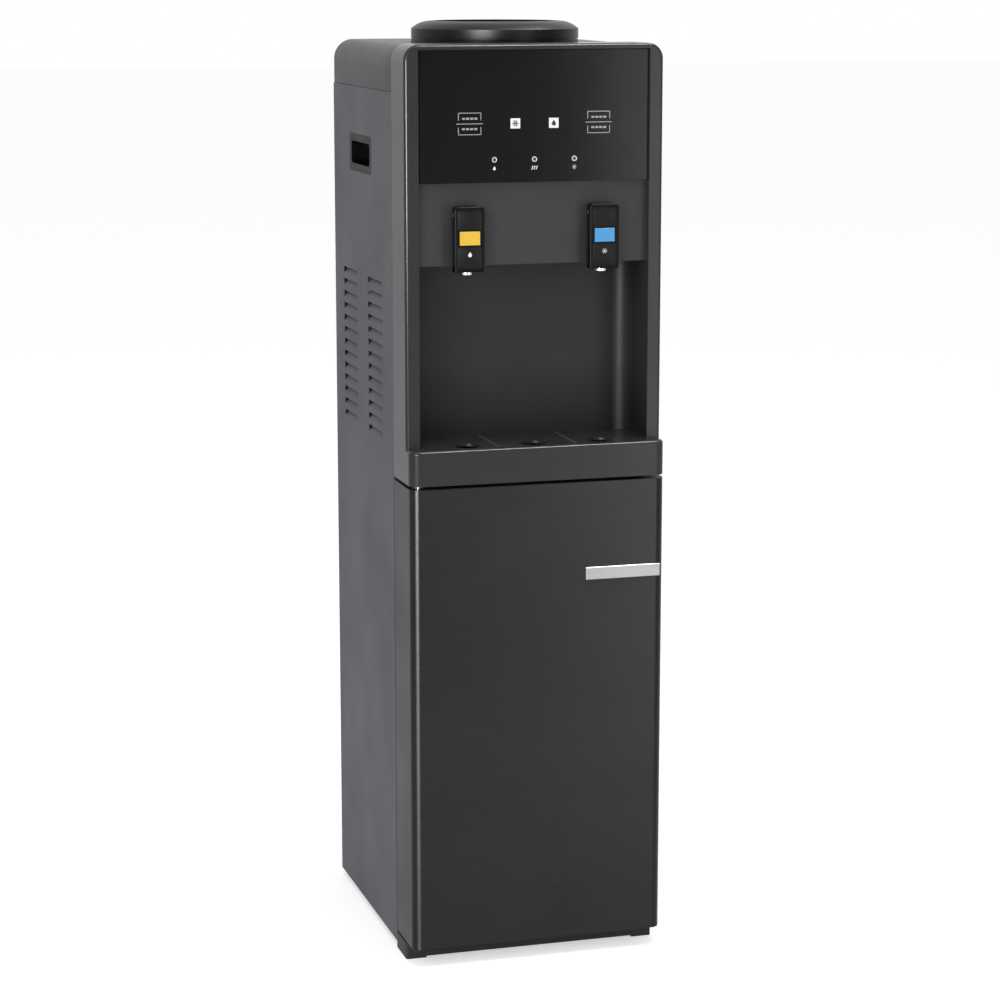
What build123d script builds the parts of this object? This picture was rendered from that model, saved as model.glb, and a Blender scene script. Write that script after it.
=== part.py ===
from build123d import *
import math
import os

# Floor-standing bottle water dispenser with a lower cabinet.
# Millimetres, +Z up, front towards -Y, origin on the floor under the middle of the overall box.

os.makedirs("parts", exist_ok=True)

# Overall sizes
cabinet_width = 310.0
fascia_depth = 60.0
carcass_depth = 298.0
door_proud = 21.0
handle_proud = 2.5

# Heights, from the floor up
side_clearance = 8.0
door_clearance = 23.0
door_height = 556.0
door_gap = 4.0
shelf_height = 41.0
alcove_height = 210.0
tap_band_height = 94.0
panel_height = 152.0
top_bar_height = 6.0
cover_step = 2.0
cover_height = 53.0

# Material thicknesses and clearances
sheet = 1.0
wall = 2.5
seam = 0.5
fit_gap = 0.2
running_gap = 0.05
soft_gap = 0.3

# Rounded edges
front_corner_radius = 12.0
fascia_edge_radius = 4.0
fascia_corner_radius = 18.0
shelf_edge_radius = 4.0
cover_edge_radius = 24.0
cover_rear_radius = 5.0

# Base
kick_setback = 15.0
floor_thickness = 3.0
plinth_clearance = 2.0
foot_width = 25.0
rear_foot_length = 35.0
rear_foot_inset = 20.0

# Side panels, louvres and hand grips
front_flange = 12.0
rear_flange = 14.0
louvre_length = 70.0
louvre_height = 8.0
louvre_depth = 5.0
louvre_pitch = 15.0
louvre_rows = 13
louvre_end_gap = 1.5
louvre_first_z = 618.0
louvre_front_offset = 148.0
louvre_rear_offset = 274.0
grip_length = 110.0
grip_height = 45.0
grip_radius = 5.0
grip_lip = 4.0
grip_depth = 27.0
grip_border = 9.0
grip_offset = 215.0
grip_z = 951.0

# Fascia, control panel and alcove
pillar_width = 16.5
panel_setback = 3.5
panel_thickness = 3.0
panel_gap = 2.0
panel_corner_radius = 1.5
band_setback = 10.0
lens_radius = 2.2
lens_spacing = 48.0
lens_rise = 27.0
lens_proud = 0.3
alcove_depth = 75.0
alcove_corner_radius = 20.0

# Drip tray
tray_side_rim = 4.0
tray_front_rim = 10.0
tray_corner_radius = 4.0
shelf_floor = 3.0
grille_thickness = 3.0
grille_rib_width = 2.0
grille_rib_height = 0.8
grille_rib_x = 47.0
drip_hole_radius = 15.0
drip_hole_offset = 5.0
basin_wall = 2.0
shelf_rear_rim = 7.0

# Cabinet behind the door
frame_sheet = 1.5
frame_border = 28.0
frame_sill = 47.0
frame_head = 35.0
liner_wall = 2.0
liner_rear_gap = 6.0
liner_flange = 12.0
store_shelf_z = 300.0
store_shelf_thickness = 4.0
store_shelf_inset = 12.0
ledge_width = 6.0
ledge_height = 4.0

# Door
door_skin = 0.8
door_wall = 3.0
door_rear_gap = 2.0
door_liner_thickness = 2.5
door_liner_dish = 10.0
gasket_width = 11.0
gasket_inset = 15.0
handle_length = 92.0
handle_height = 15.0
handle_edge = 6.5
handle_z = 469.5
finger_depth = 22.0
finger_width = 28.0
finger_height = 60.0
finger_offset = 20.0
hinge_inset = 14.0
hinge_setback = 21.0
hinge_pin_radius = 4.0
hinge_pin_depth = 14.0
hinge_pin_root = 16.0
bush_radius = 7.0
bush_length = 16.0
hinge_boss_radius = 12.0
hinge_boss_length = 20.0
hinge_plate_thickness = 2.0
hinge_plate_width = 24.0
hinge_plate_nose = 10.0
hinge_plate_tail = 40.0
hinge_plate_gap = 1.0

# Taps
tap_x = 81.0
lever_reach = 20.0
lever_width = 35.0
lever_height = 75.0
lever_drop = 6.0
lever_plate = 2.5
lever_cheek = 2.0
lever_cheek_depth = 13.0
lever_top_radius = 4.0
lever_edge_radius = 1.2
lever_pivot_drop = 10.0
lever_pivot_setback = 9.0
tap_body_width = 28.0
tap_body_depth = 9.0
tap_body_drop = 2.0
tap_top_gap = 1.0
tap_ear_height = 7.0
tap_ear_cover = 3.0
tap_pin_radius = 2.0
plunger_rise = 14.0
plunger_radius = 3.0
plunger_tail = 25.2
collar_radius = 5.0
collar_thickness = 2.0
guide_wall = 3.0
chamber_radius = 6.0
chamber_length = 20.0
shank_radius = 8.0
shank_length = 22.0
barb_radius = 4.5
barb_bore = 2.5
barb_length = 13.0
spring_radius = 4.4
spring_wire = 0.5
spring_turns = 6
nozzle_radius = 7.5
nozzle_bore = 5.0
nozzle_length = 8.0
nozzle_setback = 4.5
outlet_radius = 3.0
button_width = 24.0
button_height = 15.6
button_drop = 36.0
button_proud = 0.8
button_flange = 1.2

# Bottle seat
collar_offset = 168.0
seat_outer_radius = 100.0
seat_wall_height = 16.0
seat_rise = 25.0
seat_rim_radius = 77.0
seat_mouth_radius = 73.0
seat_wall = 3.0
seat_groove = 1.5
cover_hole_radius = 84.0
funnel_wall = 2.5
funnel_lip = 8.0
funnel_depth = 60.0
funnel_tube_radius = 36.0
funnel_tube_length = 20.0
spike_radius = 10.0
spike_bore = 6.0
spike_height = 58.0
spike_base_radius = 16.0

# Water circuit
neck_radius = 40.0
neck_height = 16.0
neck_drop = 4.0
tank_wall = 1.0
cold_tank_radius = 70.0
cold_tank_height = 207.0
cold_foam = 16.0
hot_tank_radius = 46.0
hot_tank_height = 120.0
hot_foam = 15.0
hot_tank_offset = 186.0
deck_thickness = 1.5
deck_rise = 6.5
deck_flange = 18.0
deck_front_gap = 4.0
deck_depth = 168.0
bridge_thickness = 2.0
bridge_depth = 116.0
pipe_radius = 4.5
spigot_radius = 5.0
spigot_length = 13.0
pipe_bend = 10.0
pipe_run = 23.0
riser_offset = 100.0
hot_outlet_x = -20.0
cold_outlet_x = 40.0
feed_outlet_offset = 45.0
feed_drop_x = 90.0
feed_rise = 10.0
drain_radius = 8.0
drain_rise = 12.0
drain_stub = 13.0
plug_wall = 3.0
plug_overlap = 8.0

# Cooling circuit
rear_recess = 27.0
rear_rim = 22.0
condenser_tube = 2.5
condenser_half = 115.0
condenser_passes = 10
condenser_drop = 58.0
condenser_bottom_z = 146.0
condenser_standoff = 15.0
condenser_inlet_x = 80.0
condenser_outlet_x = 100.0
condenser_stub = 16.0
condenser_post_x = 60.0
condenser_post_radius = 4.0
wire_radius = 0.8
wire_count = 12
wire_spacing = 20.0
wire_overhang = 15.0
compressor_radius = 58.0
compressor_height = 137.0
compressor_edge = 22.0
compressor_rear_gap = 7.0
compressor_plate = 3.0
compressor_foot_x = 66.0
compressor_foot_y = 38.0
compressor_foot = 12.0
mount_radius = 8.0
mount_height = 7.0
refrigerant_pipe = 3.0
refrigerant_bend = 9.0
suction_rise = 30.0
pipe_lane = 30.0
pipe_lift = 25.0
pipe_pair_x = 25.0
drier_radius = 9.0
drier_length = 90.0
drier_rise = 54.0
capillary_radius = 1.5

# Electrical pieces
board_width = 160.0
board_height = 60.0
board_thickness = 1.6
board_post = 2.0
board_gap = 1.5
switch_x = 18.0
switch_drop = 130.5
switch_width = 13.0
switch_height = 21.0
switch_depth = 16.0
switch_bezel = 2.0
switch_border = 1.6
rocker_width = 9.0
rocker_height = 16.0
rocker_depth = 7.0
rocker_tilt = 8.0
rocker_trunnion = 1.2
inlet_edge = 45.0
inlet_z = 70.0
inlet_radius = 10.0
inlet_shank = 8.0
inlet_bore = 4.0
inlet_head = 4.0
inlet_length = 14.0
screw_head_radius = 4.0
screw_head_height = 2.0
screw_radius = 1.9
screw_length = 9.0
screw_rows = 5
screw_end = 52.0

# Widths and depths that follow
half_width = cabinet_width / 2
opening_half = half_width - pillar_width
alcove_half = opening_half + wall
inner_half = half_width - sheet
overall_depth = handle_proud + door_proud + fascia_depth + carcass_depth
handle_y = -overall_depth / 2
door_y = handle_y + handle_proud
fascia_y = door_y + door_proud
seam_y = fascia_y + fascia_depth
carcass_y = seam_y + seam
rear_y = overall_depth / 2
rim_y = rear_y - screw_head_height
panel_y = fascia_y + panel_setback
band_y = fascia_y + band_setback
carrier_y = band_y + wall
alcove_back_y = fascia_y + alcove_depth
kick_y = fascia_y + kick_setback
collar_y = fascia_y + collar_offset
recess_y = rim_y - rear_recess
compressor_y = recess_y - compressor_rear_gap - compressor_radius

# Levels that follow
floor_z = side_clearance + floor_thickness
door_top_z = door_clearance + door_height
plinth_z = door_clearance - hinge_plate_gap - hinge_plate_thickness
shelf_z = door_top_z + door_gap
shelf_top_z = shelf_z + shelf_height
alcove_top_z = shelf_top_z + alcove_height
panel_z = alcove_top_z + tap_band_height
panel_top_z = panel_z + panel_height
fascia_top_z = panel_top_z + top_bar_height
cover_top_z = fascia_top_z - cover_step
cover_z = cover_top_z - cover_height
side_top_z = cover_z - seam
switch_z = side_top_z - switch_drop


def face_at(y):
    # Upright plane at depth y, seen from the front: sketch x is X, sketch y is Z
    return Plane.XZ.offset(-y)


def block(low, high, mode=Mode.ADD):
    # Box between two opposite corners
    middle = [(a + b) / 2 for a, b in zip(low, high)]
    with Locations(tuple(middle)):
        Box(abs(high[0] - low[0]), abs(high[1] - low[1]), abs(high[2] - low[2]), mode=mode)


def rod(start, along, radius, length, mode=Mode.ADD):
    # Cylinder that starts at a point and runs along a direction
    with Locations(Plane(origin=start, z_dir=along)):
        Cylinder(radius, length, align=(Align.CENTER, Align.CENTER, Align.MIN), mode=mode)


def pipe(points, radius, bends):
    # Round pipe along straight runs joined by tangent bends
    with BuildLine() as route:
        FilletPolyline(*points, radius=bends)
    with BuildSketch(Plane(origin=route.line @ 0, z_dir=route.line % 0)) as section:
        Circle(radius)
    sweep(section.sketch, path=route.line)


# Base frame: hollow kick plinth in front and a floor plate behind it
foot_x = half_width - foot_width
with BuildPart() as base_frame:
    block((-foot_x, kick_y, plinth_clearance), (foot_x, seam_y, plinth_z))
    block(
        (-foot_x + wall, kick_y + wall, plinth_clearance),
        (foot_x - wall, seam_y - wall, plinth_z - wall),
        Mode.SUBTRACT,
    )
    block((-inner_half, seam_y, side_clearance), (inner_half, rim_y - sheet, floor_z))
base_frame.part.label = "base_frame"
export_step(base_frame.part, "parts/base_frame.step")

# Feet: two tall blocks that close the plinth in front, two pads behind
with BuildPart() as feet:
    for side in (-1, 1):
        block((side * foot_x, kick_y, 0), (side * half_width, seam_y, plinth_z))
        pad_y = rim_y - rear_foot_inset
        pad_x = half_width - rear_foot_inset
        block(
            (side * (pad_x - foot_width), pad_y - rear_foot_length, 0),
            (side * pad_x, pad_y, side_clearance),
        )
    front_edges = feet.edges().filter_by(Axis.Z).group_by(Axis.Y)[0]
    fillet(front_edges.sort_by(Axis.X)[0:4:3], radius=wall)
feet.part.label = "feet"
export_step(feet.part, "parts/feet.step")

# Steel side panels: folded sheet with pressed louvres and a window for the hand grip
grip_y = fascia_y + grip_offset
louvre_columns = (fascia_y + louvre_front_offset, fascia_y + louvre_rear_offset)
louvre_levels = [louvre_first_z + row * louvre_pitch for row in range(louvre_rows)]
vane_length = louvre_length - 2 * louvre_end_gap
vane_height = louvre_height - sheet
screw_x = half_width - rear_flange / 2
screw_pitch = (side_top_z - 2 * screw_end) / (screw_rows - 1)
screw_levels = [screw_end + row * screw_pitch for row in range(screw_rows)]
with BuildPart() as louvre_vane:
    with BuildSketch(face_at(-vane_length / 2)):
        with BuildLine():
            Polyline(
                (0, -sheet),
                (sheet, -sheet),
                (sheet, 0),
                (sheet + louvre_depth, vane_height),
                (louvre_depth, vane_height),
                (0, 0),
                close=True,
            )
        make_face()
    extrude(amount=-vane_length)

with BuildPart() as side_panel_left:
    block((-half_width, carcass_y, side_clearance), (-inner_half, rim_y - sheet, side_top_z))
    block((-half_width, carcass_y, floor_z), (-half_width + front_flange, carcass_y + sheet, side_top_z))
    block((-half_width, rim_y - 2 * sheet, floor_z), (-half_width + rear_flange, rim_y - sheet, side_top_z))
    with BuildSketch(Plane.YZ.offset(-half_width)):
        with Locations((grip_y, grip_z)):
            RectangleRounded(grip_length + 2 * fit_gap, grip_height + 2 * fit_gap, grip_radius)
        for column in louvre_columns:
            with Locations(*[(column, z + louvre_height / 2) for z in louvre_levels]):
                Rectangle(louvre_length, louvre_height)
    extrude(amount=sheet, mode=Mode.SUBTRACT)
    with Locations(*[(-half_width, y, z) for y in louvre_columns for z in louvre_levels]):
        add(louvre_vane.part)
    for screw_z in screw_levels:
        rod((-screw_x, rim_y - 2 * sheet, screw_z), (0, 1, 0), screw_radius, sheet, Mode.SUBTRACT)
side_panel_left.part.label = "side_panel_left"
export_step(side_panel_left.part, "parts/side_panel_left.step")

with BuildPart() as side_panel_right:
    mirror(side_panel_left.part, about=Plane.YZ)
side_panel_right.part.label = "side_panel_right"
export_step(side_panel_right.part, "parts/side_panel_right.step")

# Hand grips: flush bezel, lip behind the sheet and a closed cup
with BuildPart() as hand_grip:
    with BuildSketch(Plane.YZ.offset(-half_width)):
        with Locations((grip_y, grip_z)):
            RectangleRounded(grip_length, grip_height, grip_radius - fit_gap)
    extrude(amount=sheet)
    with BuildSketch(Plane.YZ.offset(-inner_half)):
        with Locations((grip_y, grip_z)):
            RectangleRounded(grip_length + 2 * grip_lip, grip_height + 2 * grip_lip, grip_radius + grip_lip)
    extrude(amount=wall)
    cup_length = grip_length - 2 * grip_border
    cup_height = grip_height - 2 * grip_border
    with BuildSketch(Plane.YZ.offset(-half_width)):
        with Locations((grip_y, grip_z)):
            RectangleRounded(cup_length + 2 * wall, cup_height + 2 * wall, grip_radius + wall)
    extrude(amount=grip_depth)
    with BuildSketch(Plane.YZ.offset(-half_width)):
        with Locations((grip_y, grip_z)):
            RectangleRounded(cup_length, cup_height, grip_radius)
    extrude(amount=grip_depth - wall, mode=Mode.SUBTRACT)

with BuildPart() as hand_grips:
    add(hand_grip.part)
    mirror(hand_grip.part, about=Plane.YZ)
hand_grips.part.label = "hand_grips"
export_step(hand_grips.part, "parts/hand_grips.step")

# Top cover: rounded shell with the hole for the bottle seat
with BuildPart() as top_cover:
    with BuildSketch(face_at(carcass_y)):
        with Locations((0, cover_z + cover_height / 2)):
            Rectangle(cabinet_width, cover_height)
        fillet(vertices().group_by(Axis.Y)[-1], radius=cover_edge_radius)
    extrude(amount=carcass_y - rim_y)
    rear_edges = top_cover.faces().sort_by(Axis.Y)[-1].edges().sort_by(Axis.Z)[1:]
    fillet(rear_edges, radius=cover_rear_radius)
    with BuildSketch(face_at(carcass_y + wall)):
        with Locations((0, cover_z + (cover_height - wall) / 2)):
            Rectangle(cabinet_width - 2 * wall, cover_height - wall)
        fillet(vertices().group_by(Axis.Y)[-1], radius=cover_edge_radius - wall)
    extrude(amount=carcass_y - rim_y + 2 * wall, mode=Mode.SUBTRACT)
    rod((0, collar_y, cover_top_z), (0, 0, -1), cover_hole_radius, wall, Mode.SUBTRACT)
top_cover.part.label = "top_cover"
export_step(top_cover.part, "parts/top_cover.step")

# Fascia: shelf in front of the tray, and the hollow surround of pillars, top bar and side bands
hinge_x = -half_width + hinge_inset
hinge_y = door_y + hinge_setback
tray_half = opening_half - tray_side_rim
tray_front_y = door_y + tray_front_rim
with BuildPart() as fascia_shelf:
    with BuildSketch(Plane.XY.offset(shelf_z)):
        with Locations((0, (door_y + seam_y) / 2)):
            Rectangle(cabinet_width, seam_y - door_y)
        fillet(vertices().group_by(Axis.Y)[0], radius=front_corner_radius)
    extrude(amount=shelf_height)
    fillet(fascia_shelf.faces().sort_by(Axis.Z)[-1].edges().sort_by(Axis.Y)[:-1], radius=shelf_edge_radius)
    block((-alcove_half, seam_y, shelf_z), (alcove_half, alcove_back_y + shelf_rear_rim, shelf_top_z))

with BuildPart() as front_fascia:
    surround_height = fascia_top_z - shelf_z
    with BuildSketch(face_at(fascia_y)):
        with Locations((0, shelf_z + surround_height / 2)):
            Rectangle(cabinet_width, surround_height)
        fillet(vertices().group_by(Axis.Y)[-1], radius=fascia_corner_radius)
    extrude(amount=-fascia_depth)
    fillet(front_fascia.faces().sort_by(Axis.Y)[0].edges().sort_by(Axis.Z)[1:], radius=fascia_edge_radius)
    hollow_height = fascia_top_z - wall - shelf_top_z
    with BuildSketch(face_at(fascia_y + wall)):
        with Locations((0, shelf_top_z + hollow_height / 2)):
            Rectangle(cabinet_width - 2 * wall, hollow_height)
        fillet(vertices().group_by(Axis.Y)[-1], radius=fascia_corner_radius - wall)
    extrude(amount=wall - fascia_depth, mode=Mode.SUBTRACT)
    block((-opening_half, fascia_y, shelf_top_z), (opening_half, fascia_y + wall, panel_top_z), Mode.SUBTRACT)
    add(fascia_shelf.part)
    with BuildSketch(Plane.XY.offset(shelf_z + shelf_floor)):
        with Locations((0, (tray_front_y + alcove_back_y) / 2)):
            Rectangle(2 * tray_half, alcove_back_y - tray_front_y)
        fillet(vertices().group_by(Axis.Y)[-1], radius=alcove_corner_radius)
        fillet(vertices().group_by(Axis.Y)[0], radius=tray_corner_radius)
    extrude(amount=shelf_height - shelf_floor, mode=Mode.SUBTRACT)
    rod((hinge_x, hinge_y, shelf_z), (0, 0, 1), hinge_pin_radius, hinge_pin_root, Mode.SUBTRACT)
front_fascia.part.label = "front_fascia"
export_step(front_fascia.part, "parts/front_fascia.step")

# Glossy control panel with holes for three indicator lenses
lens_z = panel_z + lens_rise
lens_places = [(k * lens_spacing, lens_z) for k in (-1, 0, 1)]
panel_half = opening_half - panel_gap
with BuildPart() as control_panel:
    with BuildSketch(face_at(panel_y)):
        with Locations((0, panel_z + panel_height / 2)):
            RectangleRounded(2 * panel_half, panel_height - panel_gap, panel_corner_radius)
        with Locations(*lens_places):
            Circle(lens_radius, mode=Mode.SUBTRACT)
    extrude(amount=-panel_thickness)
    chamfer(control_panel.faces().sort_by(Axis.Y)[0].outer_wire().edges(), length=fit_gap)
control_panel.part.label = "control_panel"
export_step(control_panel.part, "parts/control_panel.step")

# Carrier: tap band in front of the taps' shanks, pocket for the control panel above it
carrier_front_y = fascia_y + wall
panel_back_y = panel_y + panel_thickness
plunger_z = alcove_top_z + plunger_rise
with BuildPart() as tap_panel:
    block((-alcove_half, carrier_front_y, alcove_top_z), (alcove_half, carrier_y, panel_top_z + wall))
    block((-opening_half, carrier_front_y, alcove_top_z), (opening_half, band_y, panel_z), Mode.SUBTRACT)
    block((-opening_half, carrier_front_y, panel_z), (opening_half, panel_back_y, panel_top_z), Mode.SUBTRACT)
    with BuildSketch(face_at(carrier_y)):
        with Locations(*lens_places):
            Circle(lens_radius)
    extrude(amount=carrier_y - panel_back_y, mode=Mode.SUBTRACT)
    for side in (-1, 1):
        rod((side * tap_x, band_y, plunger_z), (0, 1, 0), shank_radius, wall, Mode.SUBTRACT)
tap_panel.part.label = "tap_panel"
export_step(tap_panel.part, "parts/tap_panel.step")

# Light pipes of the three indicators
with BuildPart() as indicator_lenses:
    for x, z in lens_places:
        start_y = panel_y - lens_proud
        rod((x, start_y, z), (0, 1, 0), lens_radius - running_gap, carrier_y - start_y)
indicator_lenses.part.label = "indicator_lenses"
export_step(indicator_lenses.part, "parts/indicator_lenses.step")

# Alcove liner: back and sides with round corners, and a ceiling behind the tap band
with BuildPart() as alcove_liner:
    with BuildSketch(Plane.XY.offset(shelf_top_z)):
        with Locations((0, (carrier_front_y + alcove_back_y + wall) / 2)):
            Rectangle(2 * alcove_half, alcove_back_y + wall - carrier_front_y)
        fillet(vertices().group_by(Axis.Y)[-1], radius=alcove_corner_radius + wall)
    extrude(amount=alcove_height)
    with BuildSketch(Plane.XY.offset(shelf_top_z)):
        with Locations((0, (carrier_front_y + alcove_back_y) / 2)):
            Rectangle(2 * opening_half, alcove_back_y - carrier_front_y)
        fillet(vertices().group_by(Axis.Y)[-1], radius=alcove_corner_radius)
    extrude(amount=alcove_height, mode=Mode.SUBTRACT)
    with BuildSketch(Plane.XY.offset(alcove_top_z)):
        with Locations((0, (carrier_y + alcove_back_y + wall) / 2)):
            Rectangle(2 * alcove_half, alcove_back_y + wall - carrier_y)
        fillet(vertices().group_by(Axis.Y)[-1], radius=alcove_corner_radius + wall)
    extrude(amount=wall)
alcove_liner.part.label = "alcove_liner"
export_step(alcove_liner.part, "parts/alcove_liner.step")

# Drip tray: grille with three holes on a basin
grille_half = tray_half - seam
grille_front_y = tray_front_y + seam
grille_back_y = alcove_back_y - seam
grille_z = shelf_top_z - grille_thickness
with BuildPart() as drip_grille:
    with BuildSketch(Plane.XY.offset(grille_z)):
        with Locations((0, (grille_front_y + grille_back_y) / 2)):
            Rectangle(2 * grille_half, grille_back_y - grille_front_y)
        fillet(vertices().group_by(Axis.Y)[-1], radius=alcove_corner_radius - seam)
        fillet(vertices().group_by(Axis.Y)[0], radius=tray_corner_radius - seam)
    extrude(amount=grille_thickness)
    for side in (-1, 1):
        rib_x = side * grille_rib_x
        block(
            (rib_x - grille_rib_width / 2, grille_front_y, shelf_top_z),
            (rib_x + grille_rib_width / 2, grille_back_y, shelf_top_z + grille_rib_height),
        )
    for x in (-tap_x, 0, tap_x):
        hole_y = fascia_y + drip_hole_offset
        rod((x, hole_y, grille_z), (0, 0, 1), drip_hole_radius, grille_thickness, Mode.SUBTRACT)
drip_grille.part.label = "drip_grille"
export_step(drip_grille.part, "parts/drip_grille.step")

basin_z = shelf_z + shelf_floor
with BuildPart() as drip_basin:
    with BuildSketch(Plane.XY.offset(basin_z)):
        with Locations((0, (grille_front_y + grille_back_y) / 2)):
            Rectangle(2 * grille_half, grille_back_y - grille_front_y)
        fillet(vertices().group_by(Axis.Y)[-1], radius=alcove_corner_radius - seam)
        fillet(vertices().group_by(Axis.Y)[0], radius=tray_corner_radius - seam)
    extrude(amount=grille_z - basin_z)
    offset(amount=-basin_wall, openings=drip_basin.faces().sort_by(Axis.Z)[-1])
drip_basin.part.label = "drip_basin"
export_step(drip_basin.part, "parts/drip_basin.step")

# Cabinet: steel front frame, plastic liner tub and a shelf on its ledges
frame_y = carcass_y + sheet
frame_back_y = frame_y + frame_sheet
store_half = half_width - frame_border - sheet
store_z = floor_z + frame_sill
frame_top_z = shelf_z - seam
store_top_z = frame_top_z - frame_head
store_back_y = compressor_y - compressor_radius - liner_rear_gap
with BuildPart() as cabinet_front_frame:
    block((-inner_half, frame_y, floor_z), (inner_half, frame_back_y, frame_top_z))
    block((-store_half, frame_y, store_z), (store_half, frame_back_y, store_top_z), Mode.SUBTRACT)
cabinet_front_frame.part.label = "cabinet_front_frame"
export_step(cabinet_front_frame.part, "parts/cabinet_front_frame.step")

with BuildPart() as cabinet_liner:
    block(
        (-store_half - liner_flange, frame_back_y, store_z - liner_flange),
        (store_half + liner_flange, frame_back_y + liner_wall, store_top_z + liner_flange),
    )
    block(
        (-store_half - liner_wall, frame_back_y, store_z - liner_wall),
        (store_half + liner_wall, store_back_y + liner_wall, store_top_z + liner_wall),
    )
    block((-store_half, frame_back_y, store_z), (store_half, store_back_y, store_top_z), Mode.SUBTRACT)
    for side in (-1, 1):
        block(
            (side * store_half, frame_back_y + store_shelf_inset, store_shelf_z - ledge_height),
            (side * (store_half - ledge_width), store_back_y, store_shelf_z),
        )
cabinet_liner.part.label = "cabinet_liner"
export_step(cabinet_liner.part, "parts/cabinet_liner.step")

with BuildPart() as cabinet_shelf:
    block(
        (-store_half + seam, frame_back_y + store_shelf_inset, store_shelf_z),
        (store_half - seam, store_back_y - seam, store_shelf_z + store_shelf_thickness),
    )
    fillet(cabinet_shelf.edges().filter_by(Axis.Z), radius=ledge_height)
cabinet_shelf.part.label = "cabinet_shelf"
export_step(cabinet_shelf.part, "parts/cabinet_shelf.step")

# Door shell: deep hollow pan, its front and corners stepped in for the brushed skin
door_back_y = seam_y - door_rear_gap
bend_y = door_y + front_corner_radius
skin_radius = front_corner_radius - door_skin
bend_half = half_width - front_corner_radius
finger_y = door_y + finger_offset
with BuildPart() as door_shell:
    with BuildSketch(Plane.XY.offset(door_clearance)):
        with Locations((0, (bend_y + door_back_y) / 2)):
            Rectangle(cabinet_width, door_back_y - bend_y)
        with Locations((0, (door_y + door_skin + door_back_y) / 2)):
            RectangleRounded(cabinet_width - 2 * door_skin, door_back_y - door_y - door_skin, skin_radius)
    extrude(amount=door_height)
    pan_height = door_height - 2 * door_wall
    with BuildSketch(Plane.XY.offset(door_clearance + door_wall)):
        with Locations((0, (door_y + door_skin + door_wall + door_back_y) / 2)):
            Rectangle(cabinet_width - 2 * door_wall, door_back_y - door_y - door_skin - door_wall)
        fillet(vertices().group_by(Axis.Y)[0], radius=skin_radius - door_wall)
    extrude(amount=pan_height, mode=Mode.SUBTRACT)
    block(
        (half_width - finger_depth - wall, finger_y - wall, handle_z - finger_height / 2 - wall),
        (half_width - door_wall, finger_y + finger_width + wall, handle_z + finger_height / 2 + wall),
    )
    block(
        (half_width - finger_depth, finger_y, handle_z - finger_height / 2),
        (half_width, finger_y + finger_width, handle_z + finger_height / 2),
        Mode.SUBTRACT,
    )
    for end_z, inward in ((door_clearance, 1), (door_top_z, -1)):
        rod((hinge_x, hinge_y, end_z), (0, 0, inward), hinge_boss_radius, hinge_boss_length)
        rod((hinge_x, hinge_y, end_z), (0, 0, inward), bush_radius, bush_length, Mode.SUBTRACT)
door_shell.part.label = "door_shell"
export_step(door_shell.part, "parts/door_shell.step")

# Brushed skin bent round the front and both front corners
with BuildPart() as door_front_skin:
    with BuildSketch(Plane.XY.offset(door_clearance)):
        with Locations((0, door_y + front_corner_radius)):
            RectangleRounded(cabinet_width, 2 * front_corner_radius, front_corner_radius - seam / 100)
            RectangleRounded(
                cabinet_width - 2 * door_skin,
                2 * front_corner_radius - 2 * door_skin,
                skin_radius - seam / 100,
                mode=Mode.SUBTRACT,
            )
    extrude(amount=door_height)
    split(bisect_by=face_at(bend_y), keep=Keep.TOP)
door_front_skin.part.label = "door_skin"
export_step(door_front_skin.part, "parts/door_skin.step")

# Inner door liner, dished in the middle
liner_half = half_width - door_wall
with BuildPart() as door_liner:
    dish_half = liner_half - gasket_inset - gasket_width
    dish_z = door_clearance + gasket_inset + gasket_width + door_wall
    dish_top_z = door_top_z - gasket_inset - gasket_width - door_wall
    block(
        (-liner_half, door_back_y - door_liner_thickness, door_clearance + door_wall),
        (liner_half, door_back_y, door_top_z - door_wall),
    )
    block(
        (-dish_half, door_back_y - door_liner_dish - door_liner_thickness, dish_z),
        (dish_half, door_back_y - door_liner_thickness, dish_top_z),
    )
    block(
        (-dish_half + wall, door_back_y - door_liner_dish, dish_z + wall),
        (dish_half - wall, door_back_y, dish_top_z - wall),
        Mode.SUBTRACT,
    )
door_liner.part.label = "door_liner"
export_step(door_liner.part, "parts/door_liner.step")

# Magnetic gasket on the liner's rim, just clear of the steel front frame
gasket_half = half_width - gasket_inset
with BuildPart() as door_gasket:
    gasket_back_y = frame_y - soft_gap
    gasket_z = door_clearance + gasket_inset
    gasket_top_z = door_top_z - gasket_inset
    block((-gasket_half, door_back_y, gasket_z), (gasket_half, gasket_back_y, gasket_top_z))
    block(
        (-gasket_half + gasket_width, door_back_y, gasket_z + gasket_width),
        (gasket_half - gasket_width, gasket_back_y, gasket_top_z - gasket_width),
        Mode.SUBTRACT,
    )
door_gasket.part.label = "door_gasket"
export_step(door_gasket.part, "parts/door_gasket.step")

# Bright handle strip on the door's front, beside the finger recess
handle_right = half_width - handle_edge
with BuildPart() as door_handle:
    with BuildSketch(face_at(door_y)):
        with Locations((handle_right - handle_length / 2, handle_z)):
            RectangleRounded(handle_length, handle_height, seam)
    extrude(amount=handle_proud)
    chamfer(door_handle.faces().sort_by(Axis.Y)[0].edges(), length=seam)
door_handle.part.label = "door_handle"
export_step(door_handle.part, "parts/door_handle.step")

# Hinge: two bushes in the door, a pin in the shelf and a bracket with a pin on the left foot
with BuildPart() as hinge_bushes:
    for end_z, inward in ((door_clearance, 1), (door_top_z, -1)):
        rod((hinge_x, hinge_y, end_z), (0, 0, inward), bush_radius, bush_length)
        bush_bore = hinge_pin_radius + running_gap
        rod((hinge_x, hinge_y, end_z), (0, 0, inward), bush_bore, bush_length, Mode.SUBTRACT)
hinge_bushes.part.label = "hinge_bushes"
export_step(hinge_bushes.part, "parts/hinge_bushes.step")

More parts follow.
